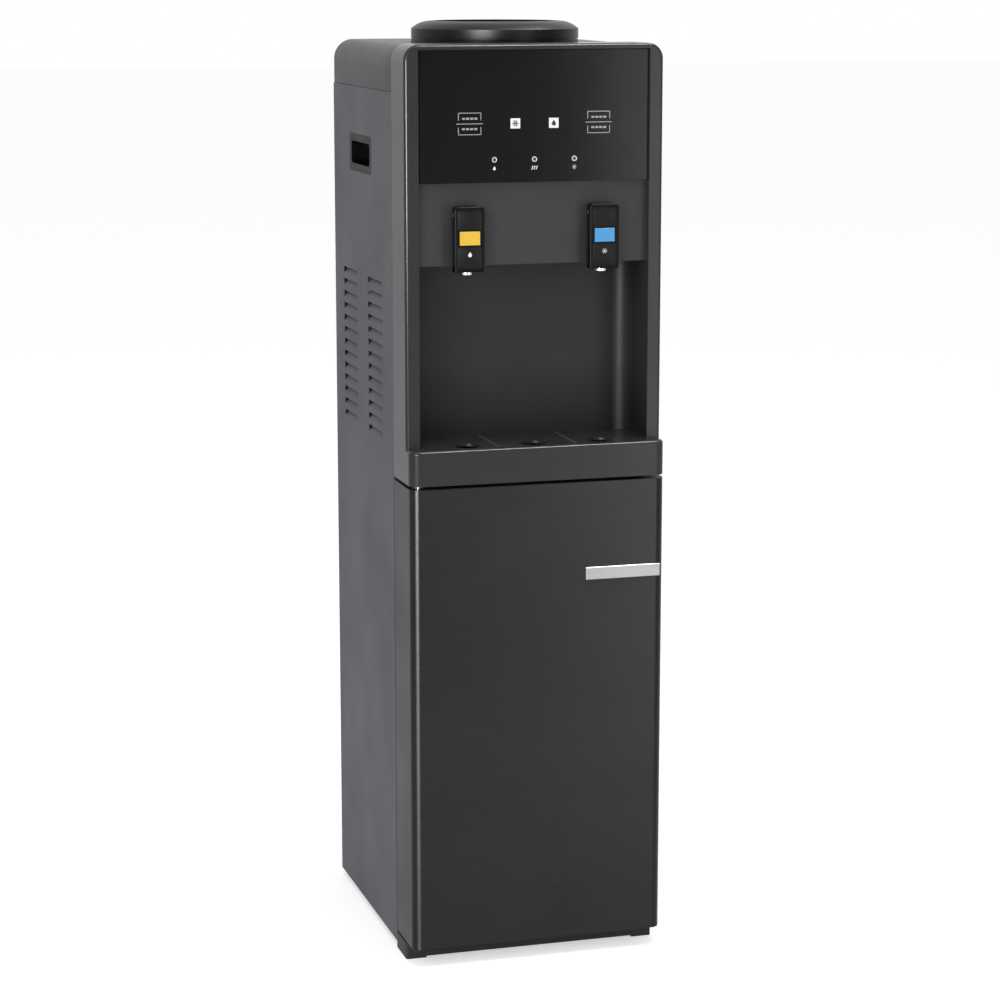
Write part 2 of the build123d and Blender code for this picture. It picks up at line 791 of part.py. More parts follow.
with BuildPart() as upper_hinge_pin:
    pin_length = hinge_pin_root + door_gap + hinge_pin_depth
    rod((hinge_x, hinge_y, door_top_z - hinge_pin_depth), (0, 0, 1), hinge_pin_radius, pin_length)
upper_hinge_pin.part.label = "upper_hinge_pin"
export_step(upper_hinge_pin.part, "parts/upper_hinge_pin.step")

with BuildPart() as lower_hinge_bracket:
    plate_top_z = plinth_z + hinge_plate_thickness
    block(
        (hinge_x - hinge_plate_width / 2, hinge_y - hinge_plate_nose, plinth_z),
        (hinge_x + hinge_plate_width / 2, kick_y + hinge_plate_tail, plate_top_z),
    )
    fillet(lower_hinge_bracket.edges().filter_by(Axis.Z).group_by(Axis.Y)[0], radius=hinge_pin_radius)
    pin_length = hinge_plate_gap + hinge_pin_depth
    rod((hinge_x, hinge_y, plate_top_z), (0, 0, 1), hinge_pin_radius, pin_length)
lower_hinge_bracket.part.label = "lower_hinge_bracket"
export_step(lower_hinge_bracket.part, "parts/lower_hinge_bracket.step")

# Levels and depths shared by the two taps
lever_y = band_y - lever_reach
lever_z = alcove_top_z - lever_drop
lever_top_z = lever_z + lever_height
lever_inner_y = lever_y + lever_plate
lever_back_y = lever_y + lever_cheek_depth
pivot_z = lever_top_z - lever_pivot_drop
pivot_y = lever_y + lever_pivot_setback
body_y = band_y - tap_body_depth
body_z = alcove_top_z - tap_body_drop
body_top_z = lever_top_z - lever_cheek - tap_top_gap
body_half = tap_body_width / 2
nozzle_y = band_y - nozzle_setback
chamber_y = body_y + guide_wall
barb_y = band_y + shank_length
barb_end_y = barb_y + barb_length
button_z = lever_top_z - button_drop
plunger_y = lever_inner_y + soft_gap
collar_front_y = chamber_y + soft_gap
spring_y = collar_front_y + collar_thickness + spring_wire + running_gap
spring_end_y = chamber_y + chamber_length - spring_wire - running_gap


def make_tap(name, x, insert_name):
    # Housing with the pin ears, spring chamber, outlet and hose barb
    with BuildPart() as body:
        block((x - body_half, body_y, body_z), (x + body_half, band_y, body_top_z))
        block(
            (x - body_half, pivot_y - tap_ear_cover, pivot_z - tap_ear_height),
            (x + body_half, band_y, body_top_z),
        )
        rod((x, band_y, plunger_z), (0, 1, 0), shank_radius, shank_length)
        rod((x, barb_y, plunger_z), (0, 1, 0), barb_radius, barb_length)
        rod((x, chamber_y, plunger_z), (0, 1, 0), chamber_radius, chamber_length, Mode.SUBTRACT)
        rod((x, body_y, plunger_z), (0, 1, 0), plunger_radius + running_gap, guide_wall, Mode.SUBTRACT)
        rod((x, chamber_y, plunger_z), (0, 1, 0), barb_bore, barb_end_y - chamber_y, Mode.SUBTRACT)
        rod((x, nozzle_y, body_z), (0, 0, 1), outlet_radius, plunger_rise + tap_body_drop, Mode.SUBTRACT)
        rod((x - body_half, pivot_y, pivot_z), (1, 0, 0), tap_pin_radius, tap_body_width, Mode.SUBTRACT)
    body.part.label = f"{name}_tap_body"
    export_step(body.part, f"parts/{name}_tap_body.step")

    # Outlet nozzle under the housing
    with BuildPart() as nozzle:
        rod((x, nozzle_y, body_z), (0, 0, -1), nozzle_radius, nozzle_length)
        fillet(nozzle.edges().group_by(Axis.Z)[0], radius=fit_gap * 4)
        rod((x, nozzle_y, body_z), (0, 0, -1), nozzle_bore, nozzle_length, Mode.SUBTRACT)
    nozzle.part.label = f"{name}_tap_nozzle"
    export_step(nozzle.part, f"parts/{name}_tap_nozzle.step")

    # Paddle lever: cap over the housing, hung on the pivot pin
    with BuildPart() as lever:
        half = lever_width / 2
        block((x - half, lever_y, lever_z), (x + half, lever_back_y, lever_top_z))
        fillet(lever.edges().filter_by(Axis.Y).group_by(Axis.Z)[-1], radius=lever_top_radius)
        fillet(lever.faces().sort_by(Axis.Y)[0].edges(), radius=lever_edge_radius)
        block(
            (x - half + lever_cheek, lever_inner_y, lever_z),
            (x + half - lever_cheek, lever_back_y, lever_top_z - lever_cheek),
            Mode.SUBTRACT,
        )
        block(
            (x - button_width / 2 - fit_gap, lever_y, button_z - button_height / 2 - fit_gap),
            (x + button_width / 2 + fit_gap, lever_inner_y, button_z + button_height / 2 + fit_gap),
            Mode.SUBTRACT,
        )
        bore = tap_pin_radius + running_gap
        rod((x - half, pivot_y, pivot_z), (1, 0, 0), bore, lever_width, Mode.SUBTRACT)
    lever.part.label = f"{name}_tap_lever"
    export_step(lever.part, f"parts/{name}_tap_lever.step")

    # Coloured front piece, held behind the paddle by its flange
    with BuildPart() as insert:
        block(
            (x - button_width / 2, lever_y - button_proud, button_z - button_height / 2),
            (x + button_width / 2, lever_inner_y + running_gap, button_z + button_height / 2),
        )
        chamfer(insert.faces().sort_by(Axis.Y)[0].edges(), length=fit_gap)
        flange_y = lever_inner_y + running_gap
        flange_half = button_width / 2 + button_flange
        flange_rise = button_height / 2 + button_flange
        block(
            (x - flange_half, flange_y, button_z - flange_rise),
            (x + flange_half, flange_y + button_flange, button_z + flange_rise),
        )
    insert.part.label = insert_name
    export_step(insert.part, f"parts/{insert_name}.step")

    # Plunger with a spring collar
    with BuildPart() as plunger:
        rod((x, plunger_y, plunger_z), (0, 1, 0), plunger_radius, plunger_tail)
        rod((x, collar_front_y, plunger_z), (0, 1, 0), collar_radius, collar_thickness)
    plunger.part.label = f"{name}_tap_plunger"
    export_step(plunger.part, f"parts/{name}_tap_plunger.step")

    # Return spring round the plunger
    with BuildPart() as spring:
        with BuildLine() as coil:
            Helix(
                pitch=(spring_end_y - spring_y) / spring_turns,
                height=spring_end_y - spring_y,
                radius=spring_radius,
                center=(x, spring_y, plunger_z),
                direction=(0, 1, 0),
            )
        with BuildSketch(Plane(origin=coil.line @ 0, z_dir=coil.line % 0)):
            Circle(spring_wire)
        sweep(path=coil.line, is_frenet=True)
    spring.part.label = f"{name}_tap_spring"
    export_step(spring.part, f"parts/{name}_tap_spring.step")


make_tap("hot", -tap_x, "hot_lock_button")
make_tap("cold", tap_x, "cold_tap_insert")

# Pivot pins, each through a housing and both cheeks of its paddle
with BuildPart() as tap_pivot_pins:
    for side in (-1, 1):
        pin_x = side * tap_x - lever_width / 2
        rod((pin_x, pivot_y, pivot_z), (1, 0, 0), tap_pin_radius, lever_width)
tap_pivot_pins.part.label = "tap_pivot_pins"
export_step(tap_pivot_pins.part, "parts/tap_pivot_pins.step")

# Bottle seat: collar ring on the cover
collar_axis = Axis((0, collar_y, 0), (0, 0, 1))
seat_top_z = cover_top_z + seat_rise
shoulder_z = cover_top_z + seat_wall_height
with BuildPart() as bottle_collar:
    with BuildSketch(face_at(collar_y)):
        with BuildLine():
            groove_z = cover_top_z + seat_wall
            Polyline(
                (seat_outer_radius - seat_wall, cover_top_z),
                (seat_outer_radius, cover_top_z),
                (seat_outer_radius, groove_z),
                (seat_outer_radius - seat_groove, groove_z),
                (seat_outer_radius - seat_groove, groove_z + seat_groove),
                (seat_outer_radius, groove_z + seat_groove),
                (seat_outer_radius, shoulder_z),
            )
            RadiusArc(
                (seat_outer_radius, shoulder_z),
                (seat_rim_radius, seat_top_z),
                -(seat_outer_radius - seat_rim_radius) * 1.5,
            )
            Polyline(
                (seat_rim_radius, seat_top_z),
                (seat_mouth_radius, seat_top_z),
                (seat_mouth_radius, seat_top_z - seat_wall),
                (seat_rim_radius, seat_top_z - seat_wall),
                (seat_outer_radius - seat_wall, shoulder_z - seat_wall),
                (seat_outer_radius - seat_wall, cover_top_z),
            )
        make_face()
    revolve(axis=collar_axis)
bottle_collar.part.label = "bottle_collar"
export_step(bottle_collar.part, "parts/bottle_collar.step")

# Funnel that hangs in the collar and leads the bottle neck down to the tank
lip_z = seat_top_z - seat_wall
funnel_z = cover_top_z - funnel_depth
tube_top_z = funnel_z + funnel_tube_length
tube_outer = funnel_tube_radius + funnel_wall
with BuildPart() as seat_funnel:
    with BuildSketch(face_at(collar_y)):
        with BuildLine():
            Polyline(
                (seat_mouth_radius, lip_z),
                (seat_rim_radius, lip_z),
                (seat_rim_radius, lip_z - funnel_lip),
                (tube_outer, tube_top_z),
                (tube_outer, funnel_z),
                (spike_base_radius, funnel_z),
                (spike_base_radius, funnel_z + funnel_wall),
                (funnel_tube_radius, funnel_z + funnel_wall),
                (funnel_tube_radius, tube_top_z + funnel_wall),
                (seat_mouth_radius, lip_z - funnel_lip + funnel_wall),
                close=True,
            )
        make_face()
    revolve(axis=collar_axis)
seat_funnel.part.label = "seat_funnel"
export_step(seat_funnel.part, "parts/seat_funnel.step")

# Feed spike standing in the funnel's floor, with side windows for the water
with BuildPart() as feed_spike:
    with BuildSketch(face_at(collar_y)):
        with BuildLine():
            tip_z = funnel_z + spike_height
            Polyline(
                (spike_bore, funnel_z),
                (spike_base_radius, funnel_z),
                (spike_base_radius, funnel_z + funnel_wall),
                (spike_radius, funnel_z + 2 * funnel_wall),
                (spike_radius, tip_z - spike_radius),
                (spike_bore / 2, tip_z),
                (0, tip_z),
                (0, tip_z - spike_radius),
                (spike_bore, tip_z - 2 * spike_radius),
                close=True,
            )
        make_face()
    revolve(axis=collar_axis)
    window_z = funnel_z + spike_height / 2
    for along in ((1, 0, 0), (0, 1, 0)):
        start = (-spike_radius * along[0], collar_y - spike_radius * along[1], window_z)
        rod(start, along, spike_bore / 2, 2 * spike_radius, Mode.SUBTRACT)
feed_spike.part.label = "feed_spike"
export_step(feed_spike.part, "parts/feed_spike.step")

# Cold tank: dished steel pot whose neck takes the funnel, with two outlets below
cold_top_z = funnel_z - neck_drop
cold_z = cold_top_z - cold_tank_height
bridge_top_z = cold_z - cold_foam
spigot_z = bridge_top_z - spigot_length
feed_y = collar_y + feed_outlet_offset
with BuildPart() as cold_tank:
    with BuildSketch(face_at(collar_y)):
        with BuildLine():
            Polyline(
                (0, cold_z),
                (cold_tank_radius, cold_z),
                (cold_tank_radius, cold_top_z - neck_height),
                (neck_radius + tank_wall, cold_top_z),
                (neck_radius + tank_wall, cold_top_z + neck_height),
                (neck_radius, cold_top_z + neck_height),
                (neck_radius, cold_top_z - tank_wall),
                (cold_tank_radius - tank_wall, cold_top_z - neck_height - tank_wall),
                (cold_tank_radius - tank_wall, cold_z + tank_wall),
                (0, cold_z + tank_wall),
                close=True,
            )
        make_face()
    revolve(axis=collar_axis)
    for x, y in ((cold_outlet_x, collar_y), (0, feed_y)):
        rod((x, y, spigot_z), (0, 0, 1), spigot_radius, cold_z - spigot_z)
cold_tank.part.label = "cold_tank"
export_step(cold_tank.part, "parts/cold_tank.step")

# Foam cup round the cold tank
foam_radius = cold_tank_radius + cold_foam
with BuildPart() as cold_tank_insulation:
    rod((0, collar_y, bridge_top_z), (0, 0, 1), foam_radius, cold_top_z - bridge_top_z)
    rod((0, collar_y, cold_z), (0, 0, 1), cold_tank_radius, cold_tank_height, Mode.SUBTRACT)
    for x, y in ((cold_outlet_x, collar_y), (0, feed_y)):
        rod((x, y, bridge_top_z), (0, 0, 1), spigot_radius, cold_foam, Mode.SUBTRACT)
cold_tank_insulation.part.label = "cold_tank_insulation"
export_step(cold_tank_insulation.part, "parts/cold_tank_insulation.step")

# Folded bridge from side panel to side panel under the cold tank
bridge_z = bridge_top_z - bridge_thickness
with BuildPart() as tank_bridge:
    bridge_front_y = collar_y - bridge_depth / 2
    bridge_back_y = collar_y + bridge_depth / 2
    block((-inner_half, bridge_front_y, bridge_z), (inner_half, bridge_back_y, bridge_top_z))
    tab_y = fascia_y + louvre_front_offset + louvre_length / 2 + wall
    for side in (-1, 1):
        block(
            (side * (inner_half - bridge_thickness), tab_y, bridge_z - deck_flange),
            (side * inner_half, bridge_back_y, bridge_z),
        )
    for x, y in ((cold_outlet_x, collar_y), (0, feed_y)):
        rod((x, y, bridge_z), (0, 0, 1), spigot_radius + seam, bridge_thickness, Mode.SUBTRACT)
tank_bridge.part.label = "tank_bridge"
export_step(tank_bridge.part, "parts/tank_bridge.step")

# Folded deck under the hot tank
deck_z = shelf_z + deck_rise
deck_top_z = deck_z + deck_thickness
deck_front_y = alcove_back_y + shelf_rear_rim + deck_front_gap
with BuildPart() as tank_deck:
    deck_back_y = deck_front_y + deck_depth
    block((-inner_half, deck_front_y, deck_z), (inner_half, deck_back_y, deck_top_z))
    for side in (-1, 1):
        block(
            (side * (inner_half - deck_thickness), deck_front_y, deck_top_z),
            (side * inner_half, deck_back_y, deck_top_z + deck_flange),
        )
tank_deck.part.label = "tank_deck"
export_step(tank_deck.part, "parts/tank_deck.step")

# Hot tank with an outlet on top, the feed at its side and the drain behind
hot_y = fascia_y + hot_tank_offset
hot_z = deck_top_z + hot_foam
hot_top_z = hot_z + hot_tank_height
jacket_radius = hot_tank_radius + hot_foam
hot_outlet_z = hot_top_z + hot_foam + spigot_length / 2
feed_z = hot_z + feed_rise
feed_x = jacket_radius + spigot_length / 2
drain_z = hot_z + drain_rise
drain_y = hot_y + jacket_radius + spigot_length / 2
with BuildPart() as hot_tank:
    rod((0, hot_y, hot_z), (0, 0, 1), hot_tank_radius, hot_tank_height)
    rod(
        (0, hot_y, hot_z + tank_wall),
        (0, 0, 1),
        hot_tank_radius - tank_wall,
        hot_tank_height - 2 * tank_wall,
        Mode.SUBTRACT,
    )
    rod((hot_outlet_x, hot_y, hot_top_z), (0, 0, 1), spigot_radius, hot_outlet_z - hot_top_z)
    inner_start = hot_tank_radius - tank_wall
    rod((inner_start, hot_y, feed_z), (1, 0, 0), spigot_radius, feed_x - inner_start)
    rod((0, hot_y + inner_start, drain_z), (0, 1, 0), drain_radius, drain_y - hot_y - inner_start)
hot_tank.part.label = "hot_tank"
export_step(hot_tank.part, "parts/hot_tank.step")

# Jacket round the hot tank, bored for its three spigots
with BuildPart() as hot_tank_jacket:
    rod((0, hot_y, deck_top_z), (0, 0, 1), jacket_radius, hot_tank_height + 2 * hot_foam)
    rod((0, hot_y, hot_z), (0, 0, 1), hot_tank_radius, hot_tank_height, Mode.SUBTRACT)
    rod((hot_outlet_x, hot_y, hot_top_z), (0, 0, 1), spigot_radius, hot_foam, Mode.SUBTRACT)
    rod((0, hot_y, feed_z), (1, 0, 0), spigot_radius, jacket_radius, Mode.SUBTRACT)
    rod((0, hot_y, drain_z), (0, 1, 0), drain_radius, jacket_radius, Mode.SUBTRACT)
hot_tank_jacket.part.label = "hot_tank_jacket"
export_step(hot_tank_jacket.part, "parts/hot_tank_jacket.step")

# Water pipes: tank outlets to the taps, feed from tank to tank, and the drain to the rear
riser_y = fascia_y + riser_offset
drain_end_y = recess_y + sheet + drain_stub
with BuildPart() as water_pipes:
    low_z = spigot_z - pipe_run
    pipe(
        [
            (cold_outlet_x, collar_y, spigot_z),
            (cold_outlet_x, collar_y, low_z),
            (tap_x, riser_y, low_z),
            (tap_x, riser_y, plunger_z),
            (tap_x, barb_end_y, plunger_z),
        ],
        pipe_radius,
        pipe_bend,
    )
    hot_run_z = hot_outlet_z + pipe_run
    pipe(
        [
            (hot_outlet_x, hot_y, hot_outlet_z),
            (hot_outlet_x, hot_y, hot_run_z),
            (-tap_x, riser_y, hot_run_z),
            (-tap_x, riser_y, plunger_z),
            (-tap_x, barb_end_y, plunger_z),
        ],
        pipe_radius,
        pipe_bend,
    )
    pipe(
        [
            (0, feed_y, spigot_z),
            (0, feed_y, low_z),
            (feed_drop_x, hot_y, low_z),
            (feed_drop_x, hot_y, feed_z),
            (feed_x, hot_y, feed_z),
        ],
        pipe_radius,
        pipe_bend,
    )
    rod((0, drain_y, drain_z), (0, 1, 0), drain_radius, drain_end_y - drain_y)
water_pipes.part.label = "water_pipes"
export_step(water_pipes.part, "parts/water_pipes.step")

# Rubber cap on the drain
with BuildPart() as drain_plug:
    plug_y = drain_end_y - plug_overlap
    bore = drain_radius + running_gap
    rod((0, plug_y, drain_z), (0, 1, 0), bore + plug_wall, plug_overlap + running_gap + plug_wall)
    rod((0, plug_y, drain_z), (0, 1, 0), bore, plug_overlap + running_gap, Mode.SUBTRACT)
drain_plug.part.label = "drain_plug"
export_step(drain_plug.part, "parts/drain_plug.step")

# Condenser: one tube folded to and fro behind the rear panel, its ends led through the panel
condenser_y = recess_y + sheet + condenser_standoff
stub_y = recess_y - condenser_stub
condenser_top_z = drain_z - condenser_drop
condenser_pitch = (condenser_top_z - condenser_bottom_z) / (condenser_passes - 1)
with BuildPart() as condenser_tubing:
    route = [(condenser_inlet_x, stub_y, condenser_top_z), (condenser_inlet_x, condenser_y, condenser_top_z)]
    end_bend = condenser_standoff / 2
    bends = [end_bend]
    for row in range(condenser_passes - 1):
        turn_x = -condenser_half if row % 2 == 0 else condenser_half
        row_z = condenser_top_z - row * condenser_pitch
        route += [(turn_x, condenser_y, row_z), (turn_x, condenser_y, row_z - condenser_pitch)]
        bends += [condenser_pitch / 2 - seam] * 2
    route.append((condenser_outlet_x, condenser_y, condenser_bottom_z))
    route.append((condenser_outlet_x, stub_y, condenser_bottom_z))
    bends.append(end_bend)
    pipe(route, condenser_tube, bends)
condenser_tubing.part.label = "condenser_tube"
export_step(condenser_tubing.part, "parts/condenser_tube.step")

# Upright wires on both sides of the condenser tube
with BuildPart() as condenser_wires:
    wire_shift = condenser_tube + wire_radius + running_gap
    wire_z = condenser_bottom_z - wire_overhang
    wire_length = condenser_top_z - condenser_bottom_z + 2 * wire_overhang
    for k in range(wire_count):
        wire_x = (k - (wire_count - 1) / 2) * wire_spacing
        for shift in (-wire_shift, wire_shift):
            rod((wire_x, condenser_y + shift, wire_z), (0, 0, 1), wire_radius, wire_length)
condenser_wires.part.label = "condenser_wires"
export_step(condenser_wires.part, "parts/condenser_wires.step")

# Rear panel: dished sheet with a screwed rim, condenser posts and cut-outs
switch_places = [(-switch_x, switch_z), (switch_x, switch_z)]
post_levels = (condenser_top_z, condenser_bottom_z)
post_places = [(side * condenser_post_x, z) for side in (-1, 1) for z in post_levels]
screw_places = [(side * screw_x, z) for side in (-1, 1) for z in screw_levels]
recess_half = half_width - rear_rim
inlet_x = half_width - inlet_edge
with BuildPart() as rear_panel:
    block((-half_width, rim_y - sheet, side_clearance), (half_width, rim_y, side_top_z))
    recess_z = floor_z + rear_rim
    recess_top_z = side_top_z - rear_rim
    block((-recess_half, recess_y, recess_z), (recess_half, rim_y, recess_top_z))
    block(
        (-recess_half + sheet, recess_y + sheet, recess_z + sheet),
        (recess_half - sheet, rim_y, recess_top_z - sheet),
        Mode.SUBTRACT,
    )
    post_length = condenser_standoff - condenser_tube - running_gap
    for x, z in post_places:
        rod((x, recess_y + sheet, z), (0, 1, 0), condenser_post_radius, post_length)
    for x, z in ((condenser_inlet_x, condenser_top_z), (condenser_outlet_x, condenser_bottom_z)):
        rod((x, recess_y, z), (0, 1, 0), condenser_tube + seam, sheet, Mode.SUBTRACT)
    rod((0, recess_y, drain_z), (0, 1, 0), drain_radius + fit_gap, sheet, Mode.SUBTRACT)
    rod((inlet_x, recess_y, inlet_z), (0, 1, 0), inlet_shank, sheet, Mode.SUBTRACT)
    for x, z in switch_places:
        block(
            (x - switch_width / 2, recess_y, z - switch_height / 2),
            (x + switch_width / 2, recess_y + sheet, z + switch_height / 2),
            Mode.SUBTRACT,
        )
    for x, z in screw_places:
        rod((x, rim_y - sheet, z), (0, 1, 0), screw_radius, sheet, Mode.SUBTRACT)
rear_panel.part.label = "rear_panel"
export_step(rear_panel.part, "parts/rear_panel.step")

# Pan-head screws through the rear panel's rim
with BuildPart() as rear_screws:
    for x, z in screw_places:
        rod((x, rim_y, z), (0, 1, 0), screw_head_radius, screw_head_height)
        rod((x, rim_y, z), (0, -1, 0), screw_radius, screw_length)
rear_screws.part.label = "rear_screws"
export_step(rear_screws.part, "parts/rear_screws.step")

# Compressor: round can on a foot plate
mount_top_z = floor_z + mount_height
can_z = mount_top_z + compressor_plate
compressor_top_z = can_z + compressor_height
with BuildPart() as compressor:
    rod((0, compressor_y, can_z), (0, 0, 1), compressor_radius, compressor_height)
    fillet(compressor.edges().filter_by(GeomType.CIRCLE), radius=compressor_edge)
    plate_half = compressor_foot_x + compressor_foot
    plate_reach = compressor_foot_y + compressor_foot
    block(
        (-plate_half, compressor_y - plate_reach, mount_top_z),
        (plate_half, compressor_y + plate_reach, can_z),
    )
compressor.part.label = "compressor"
export_step(compressor.part, "parts/compressor.step")

# Rubber mounts between the foot plate and the floor plate
with BuildPart() as compressor_mounts:
    for x in (-compressor_foot_x, compressor_foot_x):
        for y in (-compressor_foot_y, compressor_foot_y):
            rod((x, compressor_y + y, floor_z), (0, 0, 1), mount_radius, mount_height)
compressor_mounts.part.label = "compressor_mounts"
export_step(compressor_mounts.part, "parts/compressor_mounts.step")

# Refrigerant circuit: discharge, suction, filter drier and capillary
with BuildPart() as refrigerant_pipes:
    lane_y = recess_y - pipe_lane
    lane_z = compressor_top_z + pipe_lift
    pipe(
        [
            (pipe_pair_x, compressor_y, compressor_top_z),
            (pipe_pair_x, compressor_y, lane_z),
            (pipe_pair_x, lane_y, lane_z),
            (pipe_pair_x, lane_y, condenser_top_z),
            (condenser_inlet_x, lane_y, condenser_top_z),
            (condenser_inlet_x, stub_y, condenser_top_z),
        ],
        refrigerant_pipe,
        refrigerant_bend,
    )
    suction_z = cold_z + suction_rise
    foam_back_y = collar_y + math.sqrt((foam_radius + soft_gap) ** 2 - (pipe_pair_x - refrigerant_pipe) ** 2)
    pipe(
        [
            (-pipe_pair_x, compressor_y, compressor_top_z),
            (-pipe_pair_x, compressor_y, lane_z),
            (-pipe_pair_x, lane_y, lane_z),
            (-pipe_pair_x, lane_y, suction_z),
            (-pipe_pair_x, foam_back_y, suction_z),
        ],
        refrigerant_pipe,
        refrigerant_bend,
    )
    drier_z = condenser_bottom_z + drier_rise
    drier_y = stub_y - condenser_stub
    pipe(
        [
            (condenser_outlet_x, stub_y, condenser_bottom_z),
            (condenser_outlet_x, drier_y, condenser_bottom_z),
            (condenser_outlet_x, drier_y, drier_z),
        ],
        refrigerant_pipe,
        refrigerant_bend,
    )
    rod((condenser_outlet_x, drier_y, drier_z), (0, 0, 1), drier_radius, drier_length)
    reach = math.hypot(condenser_outlet_x, drier_y - collar_y)
    share = (foam_radius + soft_gap) / reach
    pipe(
        [
            (condenser_outlet_x, drier_y, drier_z + drier_length),
            (condenser_outlet_x, drier_y, suction_z),
            (condenser_outlet_x * share, collar_y + (drier_y - collar_y) * share, suction_z),
        ],
        capillary_radius,
        refrigerant_bend,
    )
refrigerant_pipes.part.label = "refrigerant_pipes"
export_step(refrigerant_pipes.part, "parts/refrigerant_pipes.step")

# Control board on four posts behind the carrier
with BuildPart() as control_board:
    board_y = carrier_y + board_gap
    board_z = lens_z - board_height / 2
    block(
        (-board_width / 2, board_y, board_z),
        (board_width / 2, board_y + board_thickness, board_z + board_height),
    )
    for x in (-board_width / 2 + 2 * board_post, board_width / 2 - 2 * board_post):
        for z in (board_z + 2 * board_post, board_z + board_height - 2 * board_post):
            rod((x, carrier_y, z), (0, 1, 0), board_post, board_gap)
control_board.part.label = "control_board"
export_step(control_board.part, "parts/control_board.step")

# Rear switches: housings through the panel, each with a rocker on trunnions
rocker_y = recess_y + sheet + switch_bezel / 2
bezel_y = recess_y + sheet + switch_bezel
rocker_room = rocker_height / 2 + 1
with BuildPart() as switch_housings:
    for x, z in switch_places:
        block(
            (x - switch_width / 2, bezel_y - switch_depth, z - switch_height / 2),
            (x + switch_width / 2, bezel_y, z + switch_height / 2),
        )
        block(
            (x - switch_width / 2 - switch_border, recess_y + sheet, z - switch_height / 2 - switch_border),
            (x + switch_width / 2 + switch_border, bezel_y, z + switch_height / 2 + switch_border),
        )
        block(
            (x - rocker_width / 2 - fit_gap, bezel_y - switch_depth + wall, z - rocker_room),
            (x + rocker_width / 2 + fit_gap, bezel_y, z + rocker_room),
            Mode.SUBTRACT,
        )
        rod(
            (x - switch_width / 2, rocker_y, z),
            (1, 0, 0),
            rocker_trunnion + running_gap,
            switch_width,
            Mode.SUBTRACT,
        )
switch_housings.part.label = "switch_housings"
export_step(switch_housings.part, "parts/switch_housings.step")


def make_rocker(name, x):
    # Rocker tilted to its off side: a shallow V in side view, on a trunnion through its middle
    lean = math.radians(rocker_tilt)
    side_plane = Plane(
        origin=(x - rocker_width / 2, rocker_y, switch_z),
        x_dir=(0, math.cos(lean), math.sin(lean)),
        z_dir=(1, 0, 0),
    )
    with BuildPart() as rocker:
        with BuildSketch(side_plane):
            with BuildLine():
                reach = rocker_height / 2
                crest = reach * math.tan(lean)
                Polyline(
                    (switch_bezel / 2, 0),
                    (switch_bezel / 2 + crest, reach),
                    (crest - rocker_depth / 2, reach),
                    (-rocker_depth / 2, 0),
                    (crest - rocker_depth / 2, -reach),
                    (switch_bezel / 2 + crest, -reach),
                    close=True,
                )
            make_face()
        extrude(amount=rocker_width)
        rod((x - switch_width / 2, rocker_y, switch_z), (1, 0, 0), rocker_trunnion, switch_width)
    rocker.part.label = name
    export_step(rocker.part, f"parts/{name}.step")


make_rocker("heating_rocker", -switch_x)
make_rocker("cooling_rocker", switch_x)

# Power cord inlet: a gland through the rear panel
with BuildPart() as cord_inlet:
    rod((inlet_x, recess_y + sheet, inlet_z), (0, 1, 0), inlet_radius, inlet_head)
    rod((inlet_x, recess_y + sheet, inlet_z), (0, -1, 0), inlet_shank, inlet_length)
    inlet_end_y = recess_y + sheet + inlet_head
    rod((inlet_x, inlet_end_y, inlet_z), (0, -1, 0), inlet_bore, inlet_head + inlet_length, Mode.SUBTRACT)
cord_inlet.part.label = "cord_inlet"
export_step(cord_inlet.part, "parts/cord_inlet.step")
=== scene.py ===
import math
import bmesh
import bpy
from mathutils import Matrix, Vector


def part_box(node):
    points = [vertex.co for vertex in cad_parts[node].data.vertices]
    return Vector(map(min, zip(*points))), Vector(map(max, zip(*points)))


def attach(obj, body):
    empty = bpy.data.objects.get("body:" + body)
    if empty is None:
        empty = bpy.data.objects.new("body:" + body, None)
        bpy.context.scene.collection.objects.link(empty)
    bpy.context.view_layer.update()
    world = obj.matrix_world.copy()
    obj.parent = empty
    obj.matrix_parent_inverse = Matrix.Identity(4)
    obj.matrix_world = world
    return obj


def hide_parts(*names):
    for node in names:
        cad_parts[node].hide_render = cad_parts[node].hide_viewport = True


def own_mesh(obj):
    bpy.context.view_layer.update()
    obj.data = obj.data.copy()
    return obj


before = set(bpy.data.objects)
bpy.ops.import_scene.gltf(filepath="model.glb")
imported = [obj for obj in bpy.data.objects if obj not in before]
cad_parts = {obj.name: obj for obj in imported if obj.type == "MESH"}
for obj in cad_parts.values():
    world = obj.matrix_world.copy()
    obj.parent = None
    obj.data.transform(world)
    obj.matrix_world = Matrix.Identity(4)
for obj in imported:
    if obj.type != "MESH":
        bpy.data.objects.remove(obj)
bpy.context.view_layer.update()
print("frame loaded:", len(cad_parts), "nodes")

noiseRange = (0.3, 0.7)  # where most values of a noise texture lie


def ink(red, green, blue):
    # screen colour 0-255 to the shader's linear value
    linear = []
    for part in (red, green, blue):
        part = part / 255
        linear.append(part / 12.92 if part <= 0.04045 else ((part + 0.055) / 1.055) ** 2.4)
    return (*linear, 1.0)


def noiseOn(tree, coords, scale, detail):
    # noise on object coordinates, scale in cycles per metre along X, Y, Z
    mapping = tree.nodes.new("ShaderNodeMapping")
    mapping.inputs["Scale"].default_value = scale
    noise = tree.nodes.new("ShaderNodeTexNoise")
    noise.inputs["Scale"].default_value = 1.0
    noise.inputs["Detail"].default_value = detail
    tree.links.new(coords.outputs["Object"], mapping.inputs["Vector"])
    tree.links.new(mapping.outputs["Vector"], noise.inputs["Vector"])
    return noise.outputs["Fac"]


